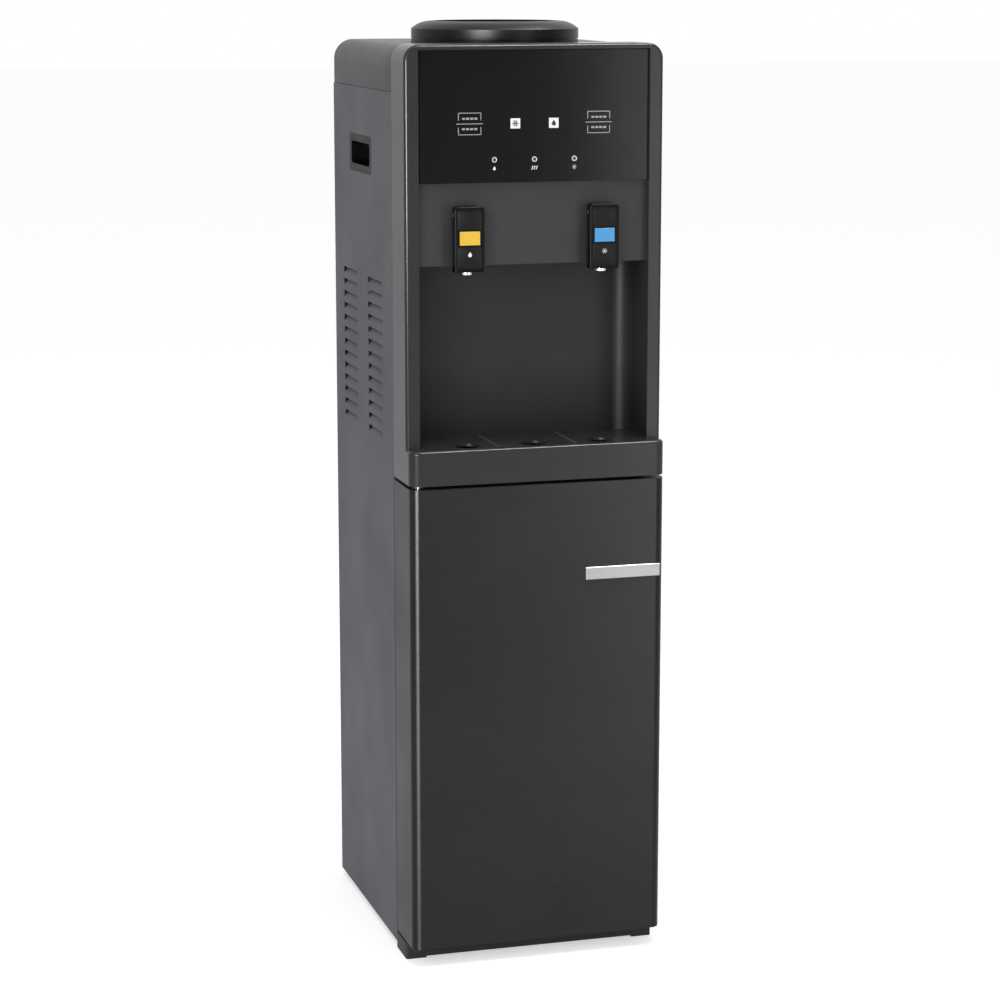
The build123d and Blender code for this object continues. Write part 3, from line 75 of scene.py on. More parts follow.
def spread(tree, value, low, high, source=noiseRange):
    # the source range of a value, mapped to low-high
    mapRange = tree.nodes.new("ShaderNodeMapRange")
    mapRange.inputs["From Min"].default_value = source[0]
    mapRange.inputs["From Max"].default_value = source[1]
    mapRange.inputs["To Min"].default_value = low
    mapRange.inputs["To Max"].default_value = high
    tree.links.new(value, mapRange.inputs["Value"])
    return mapRange.outputs["Result"]


def blend(tree, kind, factor, first, second):
    # mixes two values, each a fixed one or the output of another node
    mix = tree.nodes.new("ShaderNodeMix")
    mix.data_type = kind
    tree.links.new(factor, mix.inputs["Factor"])
    for socket, value in ((mix.inputs["A"], first), (mix.inputs["B"], second)):
        if isinstance(value, bpy.types.NodeSocket):
            tree.links.new(value, socket)
        else:
            socket.default_value = value
    return mix.outputs["Result"]


# what a finish has unless its own look says otherwise
plainLook = {
    "mottle": (9, 9, 9), "mottleDetail": 4, "grain": (900, 900, 900), "grainDetail": 2,
    "fleckAmount": 0.5, "fleckRange": (0.35, 0.75), "brushed": False,
    "bump": 0.15, "bumpDepth": 0.0001, "metal": 0.0, "specular": 0.5,
    "aniso": 0.0, "anisoTurn": 0.25,  # gloss drawn out across the brush lines
    "coat": 0.0, "coatRough": 0.05,
}
shaderInputs = {
    "Metallic": "metal", "Specular IOR Level": "specular", "Anisotropic": "aniso",
    "Anisotropic Rotation": "anisoTurn", "Coat Weight": "coat", "Coat Roughness": "coatRough",
}


def makeFinish(name, ownLook):
    # mottled colour, uneven gloss and a fine surface grain, all from object coordinates; painted
    # shade along one axis where a look asks for it
    look = {**plainLook, **ownLook}
    material = bpy.data.materials.new(name)
    material.use_nodes = True
    tree = material.node_tree
    shader = tree.nodes["Principled BSDF"]
    coords = tree.nodes.new("ShaderNodeTexCoord")
    mottle = noiseOn(tree, coords, look["mottle"], look["mottleDetail"])
    grain = noiseOn(tree, coords, look["grain"], look["grainDetail"])
    patches = spread(tree, mottle, 0, 1)
    colour = blend(tree, "RGBA", patches, ink(*look["colour"]), ink(*look["tint"]))
    if "fleck" in look:
        flecks = spread(tree, grain, 0, look["fleckAmount"], look["fleckRange"])
        colour = blend(tree, "RGBA", flecks, colour, ink(*look["fleck"]))
    if "paintedShade" in look:
        # painted shade: turns to another colour from start to end along one axis
        axis, start, end, shadeColour = look["paintedShade"]
        split = tree.nodes.new("ShaderNodeSeparateXYZ")
        tree.links.new(coords.outputs["Object"], split.inputs["Vector"])
        shadeAmount = spread(tree, split.outputs[axis], 0, 1, (start, end))
        colour = blend(tree, "RGBA", shadeAmount, colour, ink(*shadeColour))
    tree.links.new(colour, shader.inputs["Base Color"])
    rough = spread(tree, grain if look["brushed"] else mottle, *look["rough"])
    tree.links.new(rough, shader.inputs["Roughness"])
    bump = tree.nodes.new("ShaderNodeBump")
    bump.inputs["Strength"].default_value = look["bump"]
    bump.inputs["Distance"].default_value = look["bumpDepth"]
    tree.links.new(grain, bump.inputs["Height"])
    tree.links.new(bump.outputs["Normal"], shader.inputs["Normal"])
    for inputName, key in shaderInputs.items():
        shader.inputs[inputName].default_value = look[key]
    return material


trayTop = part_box("drip_grille")[1][2]
looks = {
    "sidePaint": {
        "colour": (78, 76, 84), "tint": (74, 72, 80), "rough": (0.46, 0.54), "bump": 0.1,
        "grain": (1400, 1400, 1400), "specular": 0.16, "fleck": (86, 84, 92),
        "fleckAmount": 0.25},
    "fasciaGrey": {
        "colour": (54, 54, 55), "tint": (50, 50, 51), "rough": (0.16, 0.22), "bump": 0.03,
        "grain": (1600, 1600, 1600), "specular": 0.12},
    "shellGrey": {
        "colour": (54, 54, 55), "tint": (50, 50, 51), "rough": (0.3, 0.38), "bump": 0.06,
        "grain": (1600, 1600, 1600), "specular": 0.075},
    "bandGrey": {
        "colour": (54, 54, 55), "tint": (49, 49, 50), "rough": (0.4, 0.48), "bump": 0.12,
        "grain": (1800, 1800, 1800), "specular": 0.17},
    "alcoveGrey": {
        "colour": (55, 55, 56), "tint": (50, 50, 51), "rough": (0.4, 0.48), "bump": 0.1,
        "grain": (1800, 1800, 1800), "specular": 0.08,
        # painted shade: the alcove wall darkens towards the tray, where it lies in shade
        "paintedShade": ("Z", trayTop + 0.09, trayTop + 0.004, (34, 34, 35))},
    "panelBlack": {
        "colour": (13, 13, 14), "tint": (10, 10, 11), "rough": (0.12, 0.2), "bump": 0.015,
        "grain": (500, 500, 500), "specular": 0.16},
    "coverGrey": {
        "colour": (36, 35, 39), "tint": (32, 31, 35), "rough": (0.3, 0.38), "bump": 0.03,
        "grain": (1200, 1200, 1200), "specular": 0.12},
    "collarBlack": {
        "colour": (15, 15, 16), "tint": (11, 11, 12), "rough": (0.34, 0.42), "bump": 0.03,
        "grain": (1200, 1200, 1200), "specular": 0.2},
    "doorBrushed": {
        "colour": (47, 47, 48), "tint": (42, 42, 43), "rough": (0.3, 0.4), "bump": 0.2,
        "bumpDepth": 0.00003, "grain": (16, 16, 2400), "mottle": (3, 3, 5), "brushed": True,
        "metal": 1.0, "aniso": 0.8, "fleck": (56, 56, 57), "fleckAmount": 0.6},
    "handleSilver": {
        "colour": (156, 156, 158), "tint": (148, 148, 150), "rough": (0.38, 0.5), "bump": 0.15,
        "bumpDepth": 0.00003, "grain": (20, 20, 2600), "brushed": True, "metal": 1.0,
        "aniso": 0.5},
    "mattBlack": {
        "colour": (30, 30, 31), "tint": (24, 24, 25), "rough": (0.5, 0.62), "bump": 0.3,
        "grain": (1500, 1500, 1500), "specular": 0.3},
    "gripBlack": {
        "colour": (12, 12, 13), "tint": (9, 9, 10), "rough": (0.34, 0.42), "bump": 0.08,
        "grain": (1500, 1500, 1500), "specular": 0.05},
    "trayBlack": {
        "colour": (92, 92, 93), "tint": (84, 84, 85), "rough": (0.2, 0.3), "bump": 0.05,
        "grain": (1500, 1500, 1500), "specular": 0.4,
        # painted shade: darker below the grille's top face, on the walls of the drain holes
        "paintedShade": ("Z", trayTop - 0.0004, trayTop - 0.0008, (46, 46, 47))},
    "basinBlack": {
        "colour": (9, 9, 10), "tint": (7, 7, 8), "rough": (0.4, 0.5), "bump": 0.1,
        "grain": (1500, 1500, 1500), "specular": 0.15},
    "tapBlack": {
        "colour": (9, 9, 10), "tint": (7, 7, 8), "rough": (0.3, 0.4), "bump": 0.04,
        "grain": (1500, 1500, 1500), "specular": 0.08},
    "plateDark": {
        "colour": (16, 16, 17), "tint": (13, 13, 14), "rough": (0.34, 0.42), "bump": 0.08,
        "grain": (1700, 1700, 1700), "specular": 0.13},
    "footBlack": {
        "colour": (23, 23, 24), "tint": (18, 18, 19), "rough": (0.48, 0.6), "bump": 0.25,
        "grain": (1500, 1500, 1500), "specular": 0.3},
    "chromePlate": {
        "colour": (232, 232, 234), "tint": (224, 224, 227), "rough": (0.06, 0.14),
        "bump": 0.02, "metal": 1.0},
    "lockYellow": {
        "colour": (227, 186, 49), "tint": (222, 180, 44), "rough": (0.32, 0.42), "bump": 0.1,
        "grain": (1700, 1700, 1700), "specular": 0.35},
    "coldBlue": {
        "colour": (64, 150, 209), "tint": (59, 144, 203), "rough": (0.32, 0.42), "bump": 0.1,
        "grain": (1700, 1700, 1700), "specular": 0.35},
    "printWhite": {
        "colour": (236, 236, 236), "tint": (226, 226, 227), "rough": (0.45, 0.6), "bump": 0.1,
        "grain": (2400, 2400, 2400), "specular": 0.3},
    "printGrey": {
        "colour": (158, 158, 160), "tint": (146, 146, 148), "rough": (0.45, 0.6), "bump": 0.1,
        "grain": (2400, 2400, 2400), "specular": 0.3},
    "printDark": {
        "colour": (34, 34, 35), "tint": (28, 28, 29), "rough": (0.45, 0.6), "bump": 0.1,
        "grain": (2400, 2400, 2400), "specular": 0.3},
    "lensClear": {
        "colour": (58, 60, 64), "tint": (50, 52, 56), "rough": (0.08, 0.16), "bump": 0.02,
        "coat": 0.6},
    "linerWhite": {
        "colour": (222, 222, 218), "tint": (214, 214, 210), "rough": (0.4, 0.52), "bump": 0.15,
        "grain": (1100, 1100, 1100), "specular": 0.4},
    "funnelBlack": {
        "colour": (24, 24, 25), "tint": (19, 19, 20), "rough": (0.42, 0.5), "bump": 0.08,
        "grain": (1300, 1300, 1300), "specular": 0.1},
    "spikeWhite": {
        "colour": (214, 215, 213), "tint": (203, 205, 204), "rough": (0.28, 0.4), "bump": 0.08,
        "grain": (1300, 1300, 1300), "specular": 0.4},
    "gasketGrey": {
        "colour": (92, 92, 94), "tint": (82, 82, 84), "rough": (0.6, 0.75), "bump": 0.3,
        "grain": (1200, 1200, 1200), "specular": 0.25},
    "tankSteel": {
        "colour": (188, 188, 188), "tint": (172, 172, 173), "rough": (0.25, 0.42),
        "bump": 0.15, "grain": (30, 30, 1500), "brushed": True, "metal": 1.0},
    "screwSteel": {
        "colour": (176, 177, 180), "tint": (150, 151, 155), "rough": (0.22, 0.38), "bump": 0.1,
        "grain": (2500, 2500, 2500), "metal": 1.0},
    "zincSheet": {
        "colour": (150, 152, 155), "tint": (132, 134, 138), "rough": (0.36, 0.56),
        "bump": 0.12, "mottle": (60, 60, 60), "grain": (700, 700, 700), "metal": 0.8,
        "fleck": (164, 166, 170)},
    "enamelBlack": {
        "colour": (26, 26, 26), "tint": (20, 20, 20), "rough": (0.3, 0.42), "bump": 0.12,
        "grain": (1300, 1300, 1300), "specular": 0.45},
    "foamCream": {
        "colour": (226, 220, 200), "tint": (212, 204, 182), "rough": (0.8, 0.9), "bump": 0.6,
        "bumpDepth": 0.0005, "mottle": (40, 40, 40), "grain": (420, 420, 420), "specular": 0.15},
    "hoseMilky": {
        "colour": (212, 212, 206), "tint": (200, 200, 194), "rough": (0.3, 0.42), "bump": 0.05,
        "specular": 0.4},
    "rubberBlack": {
        "colour": (26, 26, 26), "tint": (20, 20, 20), "rough": (0.65, 0.78), "bump": 0.3,
        "grain": (1300, 1300, 1300), "specular": 0.2},
    "copperTube": {
        "colour": (196, 126, 90), "tint": (170, 98, 68), "rough": (0.25, 0.42), "bump": 0.08,
        "mottle": (30, 30, 30), "metal": 1.0},
    "boardGreen": {
        "colour": (26, 88, 52), "tint": (20, 76, 44), "rough": (0.35, 0.5), "bump": 0.2,
        "grain": (700, 700, 700), "specular": 0.4},
    "rockerRed": {
        "colour": (186, 34, 30), "tint": (170, 28, 26), "rough": (0.2, 0.32), "bump": 0.05,
        "specular": 0.4},
    "rockerGreen": {
        "colour": (38, 132, 62), "tint": (32, 120, 54), "rough": (0.2, 0.32), "bump": 0.05,
        "specular": 0.4},
}
finishes = {name: makeFinish(name, look) for name, look in looks.items()}
print("finishes made:", len(finishes))

nodeFinishes = {
    "sidePaint": ["side_panel_left", "side_panel_right", "cabinet_front_frame"],
    "fasciaGrey": ["front_fascia"],
    "shellGrey": ["door_shell"],
    "bandGrey": ["tap_panel"],
    "alcoveGrey": ["alcove_liner"],
    "panelBlack": ["control_panel"],
    "coverGrey": ["top_cover"],
    "collarBlack": ["bottle_collar"],
    "doorBrushed": ["door_skin"],
    "handleSilver": ["door_handle"],
    "mattBlack": ["cord_inlet", "switch_housings"],
    "gripBlack": ["hand_grips"],
    "trayBlack": ["drip_grille"],
    "basinBlack": ["drip_basin"],
    "tapBlack": ["hot_tap_body", "cold_tap_body", "hot_tap_lever", "cold_tap_lever"],
    "footBlack": ["feet", "base_frame"],
    "chromePlate": ["hot_tap_nozzle", "cold_tap_nozzle"],
    "lockYellow": ["hot_lock_button"],
    "coldBlue": ["cold_tap_insert"],
    "lensClear": ["indicator_lenses"],
    "linerWhite": ["cabinet_liner", "cabinet_shelf", "door_liner"],
    "funnelBlack": ["seat_funnel"],
    "spikeWhite": ["feed_spike", "hinge_bushes", "hot_tap_plunger", "cold_tap_plunger"],
    "gasketGrey": ["door_gasket"],
    "tankSteel": ["cold_tank", "hot_tank"],
    "screwSteel": [
        "rear_screws", "upper_hinge_pin", "tap_pivot_pins", "hot_tap_spring", "cold_tap_spring"],
    "zincSheet": ["rear_panel", "tank_bridge", "tank_deck"],
    "enamelBlack": ["compressor", "condenser_tube", "condenser_wires", "lower_hinge_bracket"],
    "foamCream": ["cold_tank_insulation", "hot_tank_jacket"],
    "hoseMilky": ["water_pipes"],
    "rubberBlack": ["drain_plug", "compressor_mounts"],
    "copperTube": ["refrigerant_pipes"],
    "boardGreen": ["control_board"],
    "rockerRed": ["heating_rocker"],
    "rockerGreen": ["cooling_rocker"],
}
for finishName, nodeNames in nodeFinishes.items():
    for nodeName in nodeNames:
        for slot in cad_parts[nodeName].material_slots:
            slot.material = finishes[finishName]
print("nodes painted:", sum(len(nodeNames) for nodeNames in nodeFinishes.values()))

# floor, world, lamps and camera
white = (1, 1, 1, 1)
studio = {
    "floorSize": 60.0, "floorColour": (0.82, 0.82, 0.82, 1.0), "floorRough": 0.9,
    "floorGlow": 0.5, "floorGloss": 0.28,
    "worldLight": 0.58, "frontGloss": 0.22, "backGloss": 1.0, "sweepRange": (-0.5, 0.3),
}
# a lamp for gloss only draws the highlights of rounded edges and doesn't light the faces
lamps = {
    "key": {
        "place": (-2.4, -2.6, 1.9), "aim": (0, 0, 0.6), "size": (1.1, 1.9), "watts": 34},
    "edge": {
        "place": (-1.5, -2.25, 0.5), "aim": (-0.15, -0.17, 0.5), "size": (1.5, 1.0),
        "watts": 18, "glossOnly": True},
    "edgeHigh": {
        "place": (-1.5, -2.25, 0.85), "aim": (-0.15, -0.17, 0.95), "size": (1.1, 0.44),
        "watts": 140, "glossOnly": True},
    "rim": {
        "place": (0.75, -0.65, 2.9), "aim": (0, -0.18, 0.8), "size": (1.9, 0.34),
        "watts": 140, "glossOnly": True},
    "fill": {
        "place": (0.95, -2.0, 0.76), "aim": (0, -0.1, 0.35), "size": (0.45, 1.5), "watts": 9.5},
    "top": {
        "place": (0.1, -0.7, 3.0), "aim": (0, -0.05, 0.9), "size": (1.6, 1.3), "watts": 30},
}
eye = {
    "place": (-0.9365, -3.2365, 1.1707), "turn": 16.243, "tilt": 10.832,
    "lens": 100.11, "sensor": 36, "clipEnd": 50,
}


def mirrorRay(tree, path):
    # one for a glossy or a transmission ray
    either = tree.nodes.new("ShaderNodeMath")
    either.operation = "MAXIMUM"
    tree.links.new(path.outputs["Is Glossy Ray"], either.inputs[0])
    tree.links.new(path.outputs["Is Transmission Ray"], either.inputs[1])
    return either.outputs["Value"]


# white sweep behind the part, dimmer room in front of it
world = bpy.data.worlds.new("studioWorld")
bpy.context.scene.world = world
world.use_nodes = True
worldTree = world.node_tree
worldPath = worldTree.nodes.new("ShaderNodeLightPath")
heading = worldTree.nodes.new("ShaderNodeTexCoord")
headingParts = worldTree.nodes.new("ShaderNodeSeparateXYZ")
worldTree.links.new(heading.outputs["Generated"], headingParts.inputs["Vector"])
sweep = spread(
    worldTree, headingParts.outputs["Y"], studio["frontGloss"], studio["backGloss"],
    studio["sweepRange"])
seen = blend(worldTree, "FLOAT", mirrorRay(worldTree, worldPath), studio["worldLight"], sweep)
seen = blend(worldTree, "FLOAT", worldPath.outputs["Is Camera Ray"], seen, 1.0)
backdrop = worldTree.nodes["Background"]
backdrop.inputs["Color"].default_value = white
worldTree.links.new(seen, backdrop.inputs["Strength"])

floorMesh = bpy.data.meshes.new("floor")
floorShape = bmesh.new()
bmesh.ops.create_grid(floorShape, x_segments=1, y_segments=1, size=studio["floorSize"] / 2)
floorShape.to_mesh(floorMesh)
floorShape.free()
floor = bpy.data.objects.new("floor", floorMesh)
bpy.context.scene.collection.objects.link(floor)
floorPaint = bpy.data.materials.new("floorPaint")
floorPaint.use_nodes = True
floorTree = floorPaint.node_tree
floorShader = floorTree.nodes["Principled BSDF"]
floorShader.inputs["Base Color"].default_value = studio["floorColour"]
floorShader.inputs["Roughness"].default_value = studio["floorRough"]
floorShader.inputs["Specular IOR Level"].default_value = 0.0
floorShader.inputs["Emission Color"].default_value = white
floorPath = floorTree.nodes.new("ShaderNodeLightPath")
glow = blend(floorTree, "FLOAT", mirrorRay(floorTree, floorPath), 0.0, studio["floorGloss"])
glow = blend(floorTree, "FLOAT", floorPath.outputs["Is Camera Ray"], glow, studio["floorGlow"])
floorTree.links.new(glow, floorShader.inputs["Emission Strength"])
floorMesh.materials.append(floorPaint)

for lampName, spec in lamps.items():
    lamp = bpy.data.lights.new(lampName, "AREA")
    lamp.shape = "RECTANGLE"
    lamp.size, lamp.size_y = spec["size"]
    lamp.energy = spec["watts"]
    lampObject = bpy.data.objects.new(lampName, lamp)
    lampObject.location = spec["place"]
    aim = Vector(spec["aim"]) - Vector(spec["place"])
    lampObject.rotation_euler = aim.to_track_quat("-Z", "Y").to_euler()
    lampObject.visible_diffuse = not spec.get("glossOnly", False)
    bpy.context.scene.collection.objects.link(lampObject)

camera = bpy.data.cameras.new("photoCamera")
camera.lens = eye["lens"]
camera.sensor_width = eye["sensor"]
camera.sensor_fit = "HORIZONTAL"
camera.clip_end = eye["clipEnd"]
cameraObject = bpy.data.objects.new("photoCamera", camera)
cameraObject.location = eye["place"]
cameraObject.rotation_euler = (math.radians(90 - eye["tilt"]), 0, math.radians(-eye["turn"]))
bpy.context.scene.collection.objects.link(cameraObject)
bpy.context.scene.camera = cameraObject
bpy.context.scene.view_settings.view_transform = "Standard"
print("studio ready")

weldReach = 1e-6
sharpAngle = math.radians(35)
standUp = Matrix.Rotation(math.pi / 2, 3, "X")  # from the XY plane to a front face
pointBack = Matrix.Rotation(-math.pi / 2, 3, "X")  # from up to the rear


def makePiece(name, shape, finishName, body, smooth=False):
    # bmesh to an object at the origin that rides on a CAD body
    bmesh.ops.remove_doubles(shape, verts=shape.verts, dist=weldReach)
    bmesh.ops.recalc_face_normals(shape, faces=shape.faces)
    mesh = bpy.data.meshes.new(name)
    shape.to_mesh(mesh)
    shape.free()
    if smooth:
        mesh.shade_smooth()
        mesh.set_sharp_from_angle(angle=sharpAngle)
    mesh.materials.append(finishes[finishName])
    piece = bpy.data.objects.new(name, mesh)
    bpy.context.scene.collection.objects.link(piece)
    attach(piece, body)
    return piece


def vertsOf(geom):
    return [item for item in geom if isinstance(item, bmesh.types.BMVert)]


def edgesOf(geom):
    return [item for item in geom if isinstance(item, bmesh.types.BMEdge)]


def openEdges(shape):
    return [edge for edge in shape.edges if edge.is_boundary]


def grow(shape, edges):
    # extrudes open edges: the new edges, and their vertices to be moved
    grown = bmesh.ops.extrude_edge_only(shape, edges=edges)["geom"]
    return edgesOf(grown), vertsOf(grown)


def bar(shape, middle, size, turn=0.0):
    # thin bar on a front face: size along X, Y, Z, turned in the face
    made = bmesh.ops.create_cube(shape, size=1.0)["verts"]
    bmesh.ops.scale(shape, vec=size, verts=made)
    bmesh.ops.rotate(shape, cent=(0, 0, 0), matrix=Matrix.Rotation(turn, 3, "Y"), verts=made)
    bmesh.ops.translate(shape, vec=middle, verts=made)


def ring(shape, middle, outer, inner, thick, sides):
    # flat ring on a front face: a square profile spun about Y
    x, y, z = middle
    corners = [(inner, 0), (outer, 0), (outer, thick), (inner, thick)]
    profile = [shape.verts.new((x + radius, y + depth, z)) for radius, depth in corners]
    edges = [shape.edges.new((profile[k - 1], profile[k])) for k in range(len(profile))]
    bmesh.ops.spin(
        shape, geom=profile + edges, cent=middle, axis=(0, 1, 0), angle=2 * math.pi,
        steps=sides, use_merge=True)


snow = {"branchAt": 0.68, "branchReach": 0.44}
tear = {"sides": 28, "pinch": 0.82, "pinchPower": 1.6, "point": 1.7}


def snowflake(shape, middle, reach, thick, line):
    # three crossing bars, with two short branches on each arm
    for k in range(3):
        bar(shape, middle, (2 * reach, thick, line), k * math.pi / 3)
    branch = (reach * snow["branchReach"], thick, line)
    for k in range(6):
        angle = k * math.pi / 3
        out = Vector((math.cos(angle), 0, -math.sin(angle))) * reach * snow["branchAt"]
        for lean in (-1, 1):
            bar(shape, Vector(middle) + out, branch, angle + lean * math.pi / 4)


def drop(shape, middle, radius, thick):
    # round below, drawn to a point above
    made = bmesh.ops.create_circle(
        shape, cap_ends=True, segments=tear["sides"], radius=radius)["verts"]
    bmesh.ops.rotate(shape, cent=(0, 0, 0), matrix=standUp, verts=made)
    for vert in made:
        if vert.co.z > 0:
            rise = vert.co.z / radius
            vert.co.x *= 1 - tear["pinch"] * rise ** tear["pinchPower"]
            vert.co.z *= 1 + (tear["point"] - 1) * rise
    grown = bmesh.ops.extrude_face_region(shape, geom=made[0].link_faces[:])["geom"]
    lifted = vertsOf(grown)
    bmesh.ops.translate(shape, vec=(0, thick, 0), verts=lifted)
    place = Vector(middle) - Vector((0, thick / 2, 0))
    bmesh.ops.translate(shape, vec=place, verts=made + lifted)


# marks on the control panel
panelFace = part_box("control_panel")[0][1]
panelMarks = {
    "inkThick": 0.00025, "line": 0.0009,
    "labelX": 0.0773, "labelZ": 0.9962, "labelSize": (0.0275, 0.0245), "dividerWidth": 0.0315,
    "bracketAt": 0.33, "bracketLength": 0.34,
    "bars": 4, "barPitch": 0.0048, "barAt": 0.24, "barSize": (0.0037, 0.0023),
    "squareX": 0.023, "squareZ": 0.996, "squareSize": 0.0115,
    "iconThick": 0.0002, "iconOut": 0.000325, "iconSnow": 0.0038, "iconSnowLine": 0.0008,
    "iconDrop": 0.0026, "iconDropLower": 0.0006,
    "ledX": 0.048, "ledZ": 0.955, "ledRing": (0.0030, 0.0022), "ledRingThick": 0.0005,
    "ledRingSides": 40, "markBelow": 0.0098, "markDrop": 0.0017, "markDropLower": 0.0005,
    "waveBar": (0.0009, 0.0046), "wavePitch": 0.0026, "waveLean": 0.35,
    "markSnow": 0.0027, "markSnowLine": 0.0006,
}
inkThick = panelMarks["inkThick"]


def inkPlace(x, z):
    return (x, panelFace - inkThick / 2, z)


def inkBar(shape, x, z, width, height, turn=0.0):
    bar(shape, inkPlace(x, z), (width, inkThick, height), turn)


# two bracket labels: open boxes above and below a dividing line, each with a row of short bars
labels = bmesh.new()
line = panelMarks["line"]
labelZ = panelMarks["labelZ"]
width, height = panelMarks["labelSize"]
bracketHeight = height * panelMarks["bracketLength"]
firstBar = -(panelMarks["bars"] - 1) / 2
for side in (-1, 1):
    x = side * panelMarks["labelX"]
    inkBar(labels, x, labelZ, panelMarks["dividerWidth"], line)
    for way in (-1, 1):
        bracketZ = labelZ + way * height * panelMarks["bracketAt"]
        barZ = labelZ + way * height * panelMarks["barAt"]
        inkBar(labels, x, labelZ + way * height / 2, width, line)
        for edge in (-1, 1):
            inkBar(labels, x + edge * (width - line) / 2, bracketZ, line, bracketHeight)
        for k in range(panelMarks["bars"]):
            barX = x + (firstBar + k) * panelMarks["barPitch"]
            inkBar(labels, barX, barZ, *panelMarks["barSize"])
makePiece("panelLabels", labels, "printGrey", "cabinet")

# two white squares, with a dark snowflake and a dark flame drop
squares = bmesh.new()
squareX = panelMarks["squareX"]
squareZ = panelMarks["squareZ"]
for side in (-1, 1):
    inkBar(squares, side * squareX, squareZ, panelMarks["squareSize"], panelMarks["squareSize"])
makePiece("panelSquares", squares, "printWhite", "cabinet")

icons = bmesh.new()
iconY = panelFace - panelMarks["iconOut"]
iconThick = panelMarks["iconThick"]
snowflake(
    icons, (-squareX, iconY, squareZ), panelMarks["iconSnow"], iconThick,
    panelMarks["iconSnowLine"])
dropZ = squareZ - panelMarks["iconDropLower"]
drop(icons, (squareX, iconY, dropZ), panelMarks["iconDrop"], iconThick)
makePiece("squareIcons", icons, "printDark", "cabinet")

# ring round each indicator lens, and a small mark below it: flame drop, wave bars, snowflake
rings = bmesh.new()
outer, inner = panelMarks["ledRing"]
ringThick = panelMarks["ledRingThick"]
ledX = panelMarks["ledX"]
ledZ = panelMarks["ledZ"]
for k in (-1, 0, 1):
    ringPlace = (k * ledX, panelFace - ringThick, ledZ)
    ring(rings, ringPlace, outer, inner, ringThick, panelMarks["ledRingSides"])
makePiece("indicatorRings", rings, "printWhite", "cabinet", smooth=True)

marks = bmesh.new()
markZ = ledZ - panelMarks["markBelow"]
dropPlace = inkPlace(-ledX, markZ - panelMarks["markDropLower"])
drop(marks, dropPlace, panelMarks["markDrop"], inkThick)
for step in (-1, 0, 1):
    waveX = step * panelMarks["wavePitch"]
    inkBar(marks, waveX, markZ, *panelMarks["waveBar"], panelMarks["waveLean"])
snowflake(
    marks, inkPlace(ledX, markZ), panelMarks["markSnow"], inkThick, panelMarks["markSnowLine"])
makePiece("indicatorMarks", marks, "printWhite", "cabinet")
print("panel marks made")

# satin plates above and below the colour piece of each paddle, and a small mark on the lower one
paddle = {
    "x": 0.081, "width": 0.0285, "thick": 0.0004, "corner": 0.0022, "cornerSteps": 5,
    "rimShare": 0.6, "rimSteps": 2, "upper": (0.8764, 0.8985), "lower": (0.8325, 0.8576),
    "markZ": 0.8485, "markThick": 0.0002, "markDrop": 0.00224, "markDropLower": 0.0006,
    "markSnow": 0.0032, "markSnowLine": 0.0007,
}
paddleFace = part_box("hot_tap_lever")[0][1]


def facePlate(shape, x, low, high):
    # rounded plate with a soft front edge, standing on a paddle's face
    made = bmesh.ops.create_grid(shape, x_segments=1, y_segments=1, size=0.5)["verts"]
    bmesh.ops.rotate(shape, cent=(0, 0, 0), matrix=standUp, verts=made)
    bmesh.ops.scale(shape, vec=(paddle["width"], 1, high - low), verts=made)
    bmesh.ops.translate(shape, vec=(x, paddleFace, (low + high) / 2), verts=made)
    rounded = bmesh.ops.bevel(
        shape, geom=made, offset=paddle["corner"], segments=paddle["cornerSteps"],
        profile=0.5, affect="VERTICES", material=-1)["verts"]
    outline = {face for vert in rounded for face in vert.link_faces}
    grown = bmesh.ops.extrude_face_region(shape, geom=list(outline))["geom"]
    bmesh.ops.translate(shape, vec=(0, -paddle["thick"], 0), verts=vertsOf(grown))
    bmesh.ops.bevel(
        shape, geom=edgesOf(grown), offset=paddle["thick"] * paddle["rimShare"],
        segments=paddle["rimSteps"], profile=0.5, affect="EDGES", material=-1)


markY = paddleFace - paddle["thick"] - paddle["markThick"] / 2
for side, sideName in ((-1, "hot"), (1, "cold")):
    x = side * paddle["x"]
    lever = sideName + "_lever"
    plates = bmesh.new()
    for low, high in (paddle["upper"], paddle["lower"]):
        facePlate(plates, x, low, high)
    makePiece(sideName + "PaddlePlates", plates, "plateDark", lever, smooth=True)
    mark = bmesh.new()
    if sideName == "hot":
        dropPlace = (x, markY, paddle["markZ"] - paddle["markDropLower"])
        drop(mark, dropPlace, paddle["markDrop"], paddle["markThick"])
    else:
        snowflake(
            mark, (x, markY, paddle["markZ"]), paddle["markSnow"], paddle["markThick"],
            paddle["markSnowLine"])
    makePiece(sideName + "PaddleMark", mark, "printWhite", lever)
print("paddle plates and marks made")

# door gasket: foot, narrow waist and a soft pad, carried round the door by mirroring each corner
gasket = {
    "profile": [
        (0, 0), (0.011, 0), (0.011, 0.0007), (0.0082, 0.0009), (0.0076, 0.0013),
        (0.0086, 0.0016), (0.0102, 0.0019), (0.0104, 0.0026), (0.0096, 0.0031),
        (0.0055, 0.0032), (0.0014, 0.0031), (0.0006, 0.0026), (0.0008, 0.0019),
        (0.0024, 0.0016), (0.0034, 0.0013), (0.0028, 0.0009), (0, 0.0007)],
    "mirrors": [(-1, 1, 1), (1, 1, -1), (-1, 1, 1), (1, 1, -1)],
}
gasketLow, gasketHigh = (Vector(corner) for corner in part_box("door_gasket"))
toMiddle = Matrix.Translation(-(gasketLow + gasketHigh) / 2)
seal = bmesh.new()
loop = []
for across, depth in gasket["profile"]:
    loop.append(seal.verts.new(gasketLow + Vector((across, depth, across))))
loopEdges = [seal.edges.new((loop[k - 1], loop[k])) for k in range(len(loop))]
for mirror in gasket["mirrors"]:
    loopEdges, moved = grow(seal, loopEdges)
    bmesh.ops.scale(seal, vec=mirror, space=toMiddle, verts=moved)
sealPiece = makePiece("gasketBellows", seal, "gasketGrey", "door", smooth=True)
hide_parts("door_gasket")
print("gasket made")
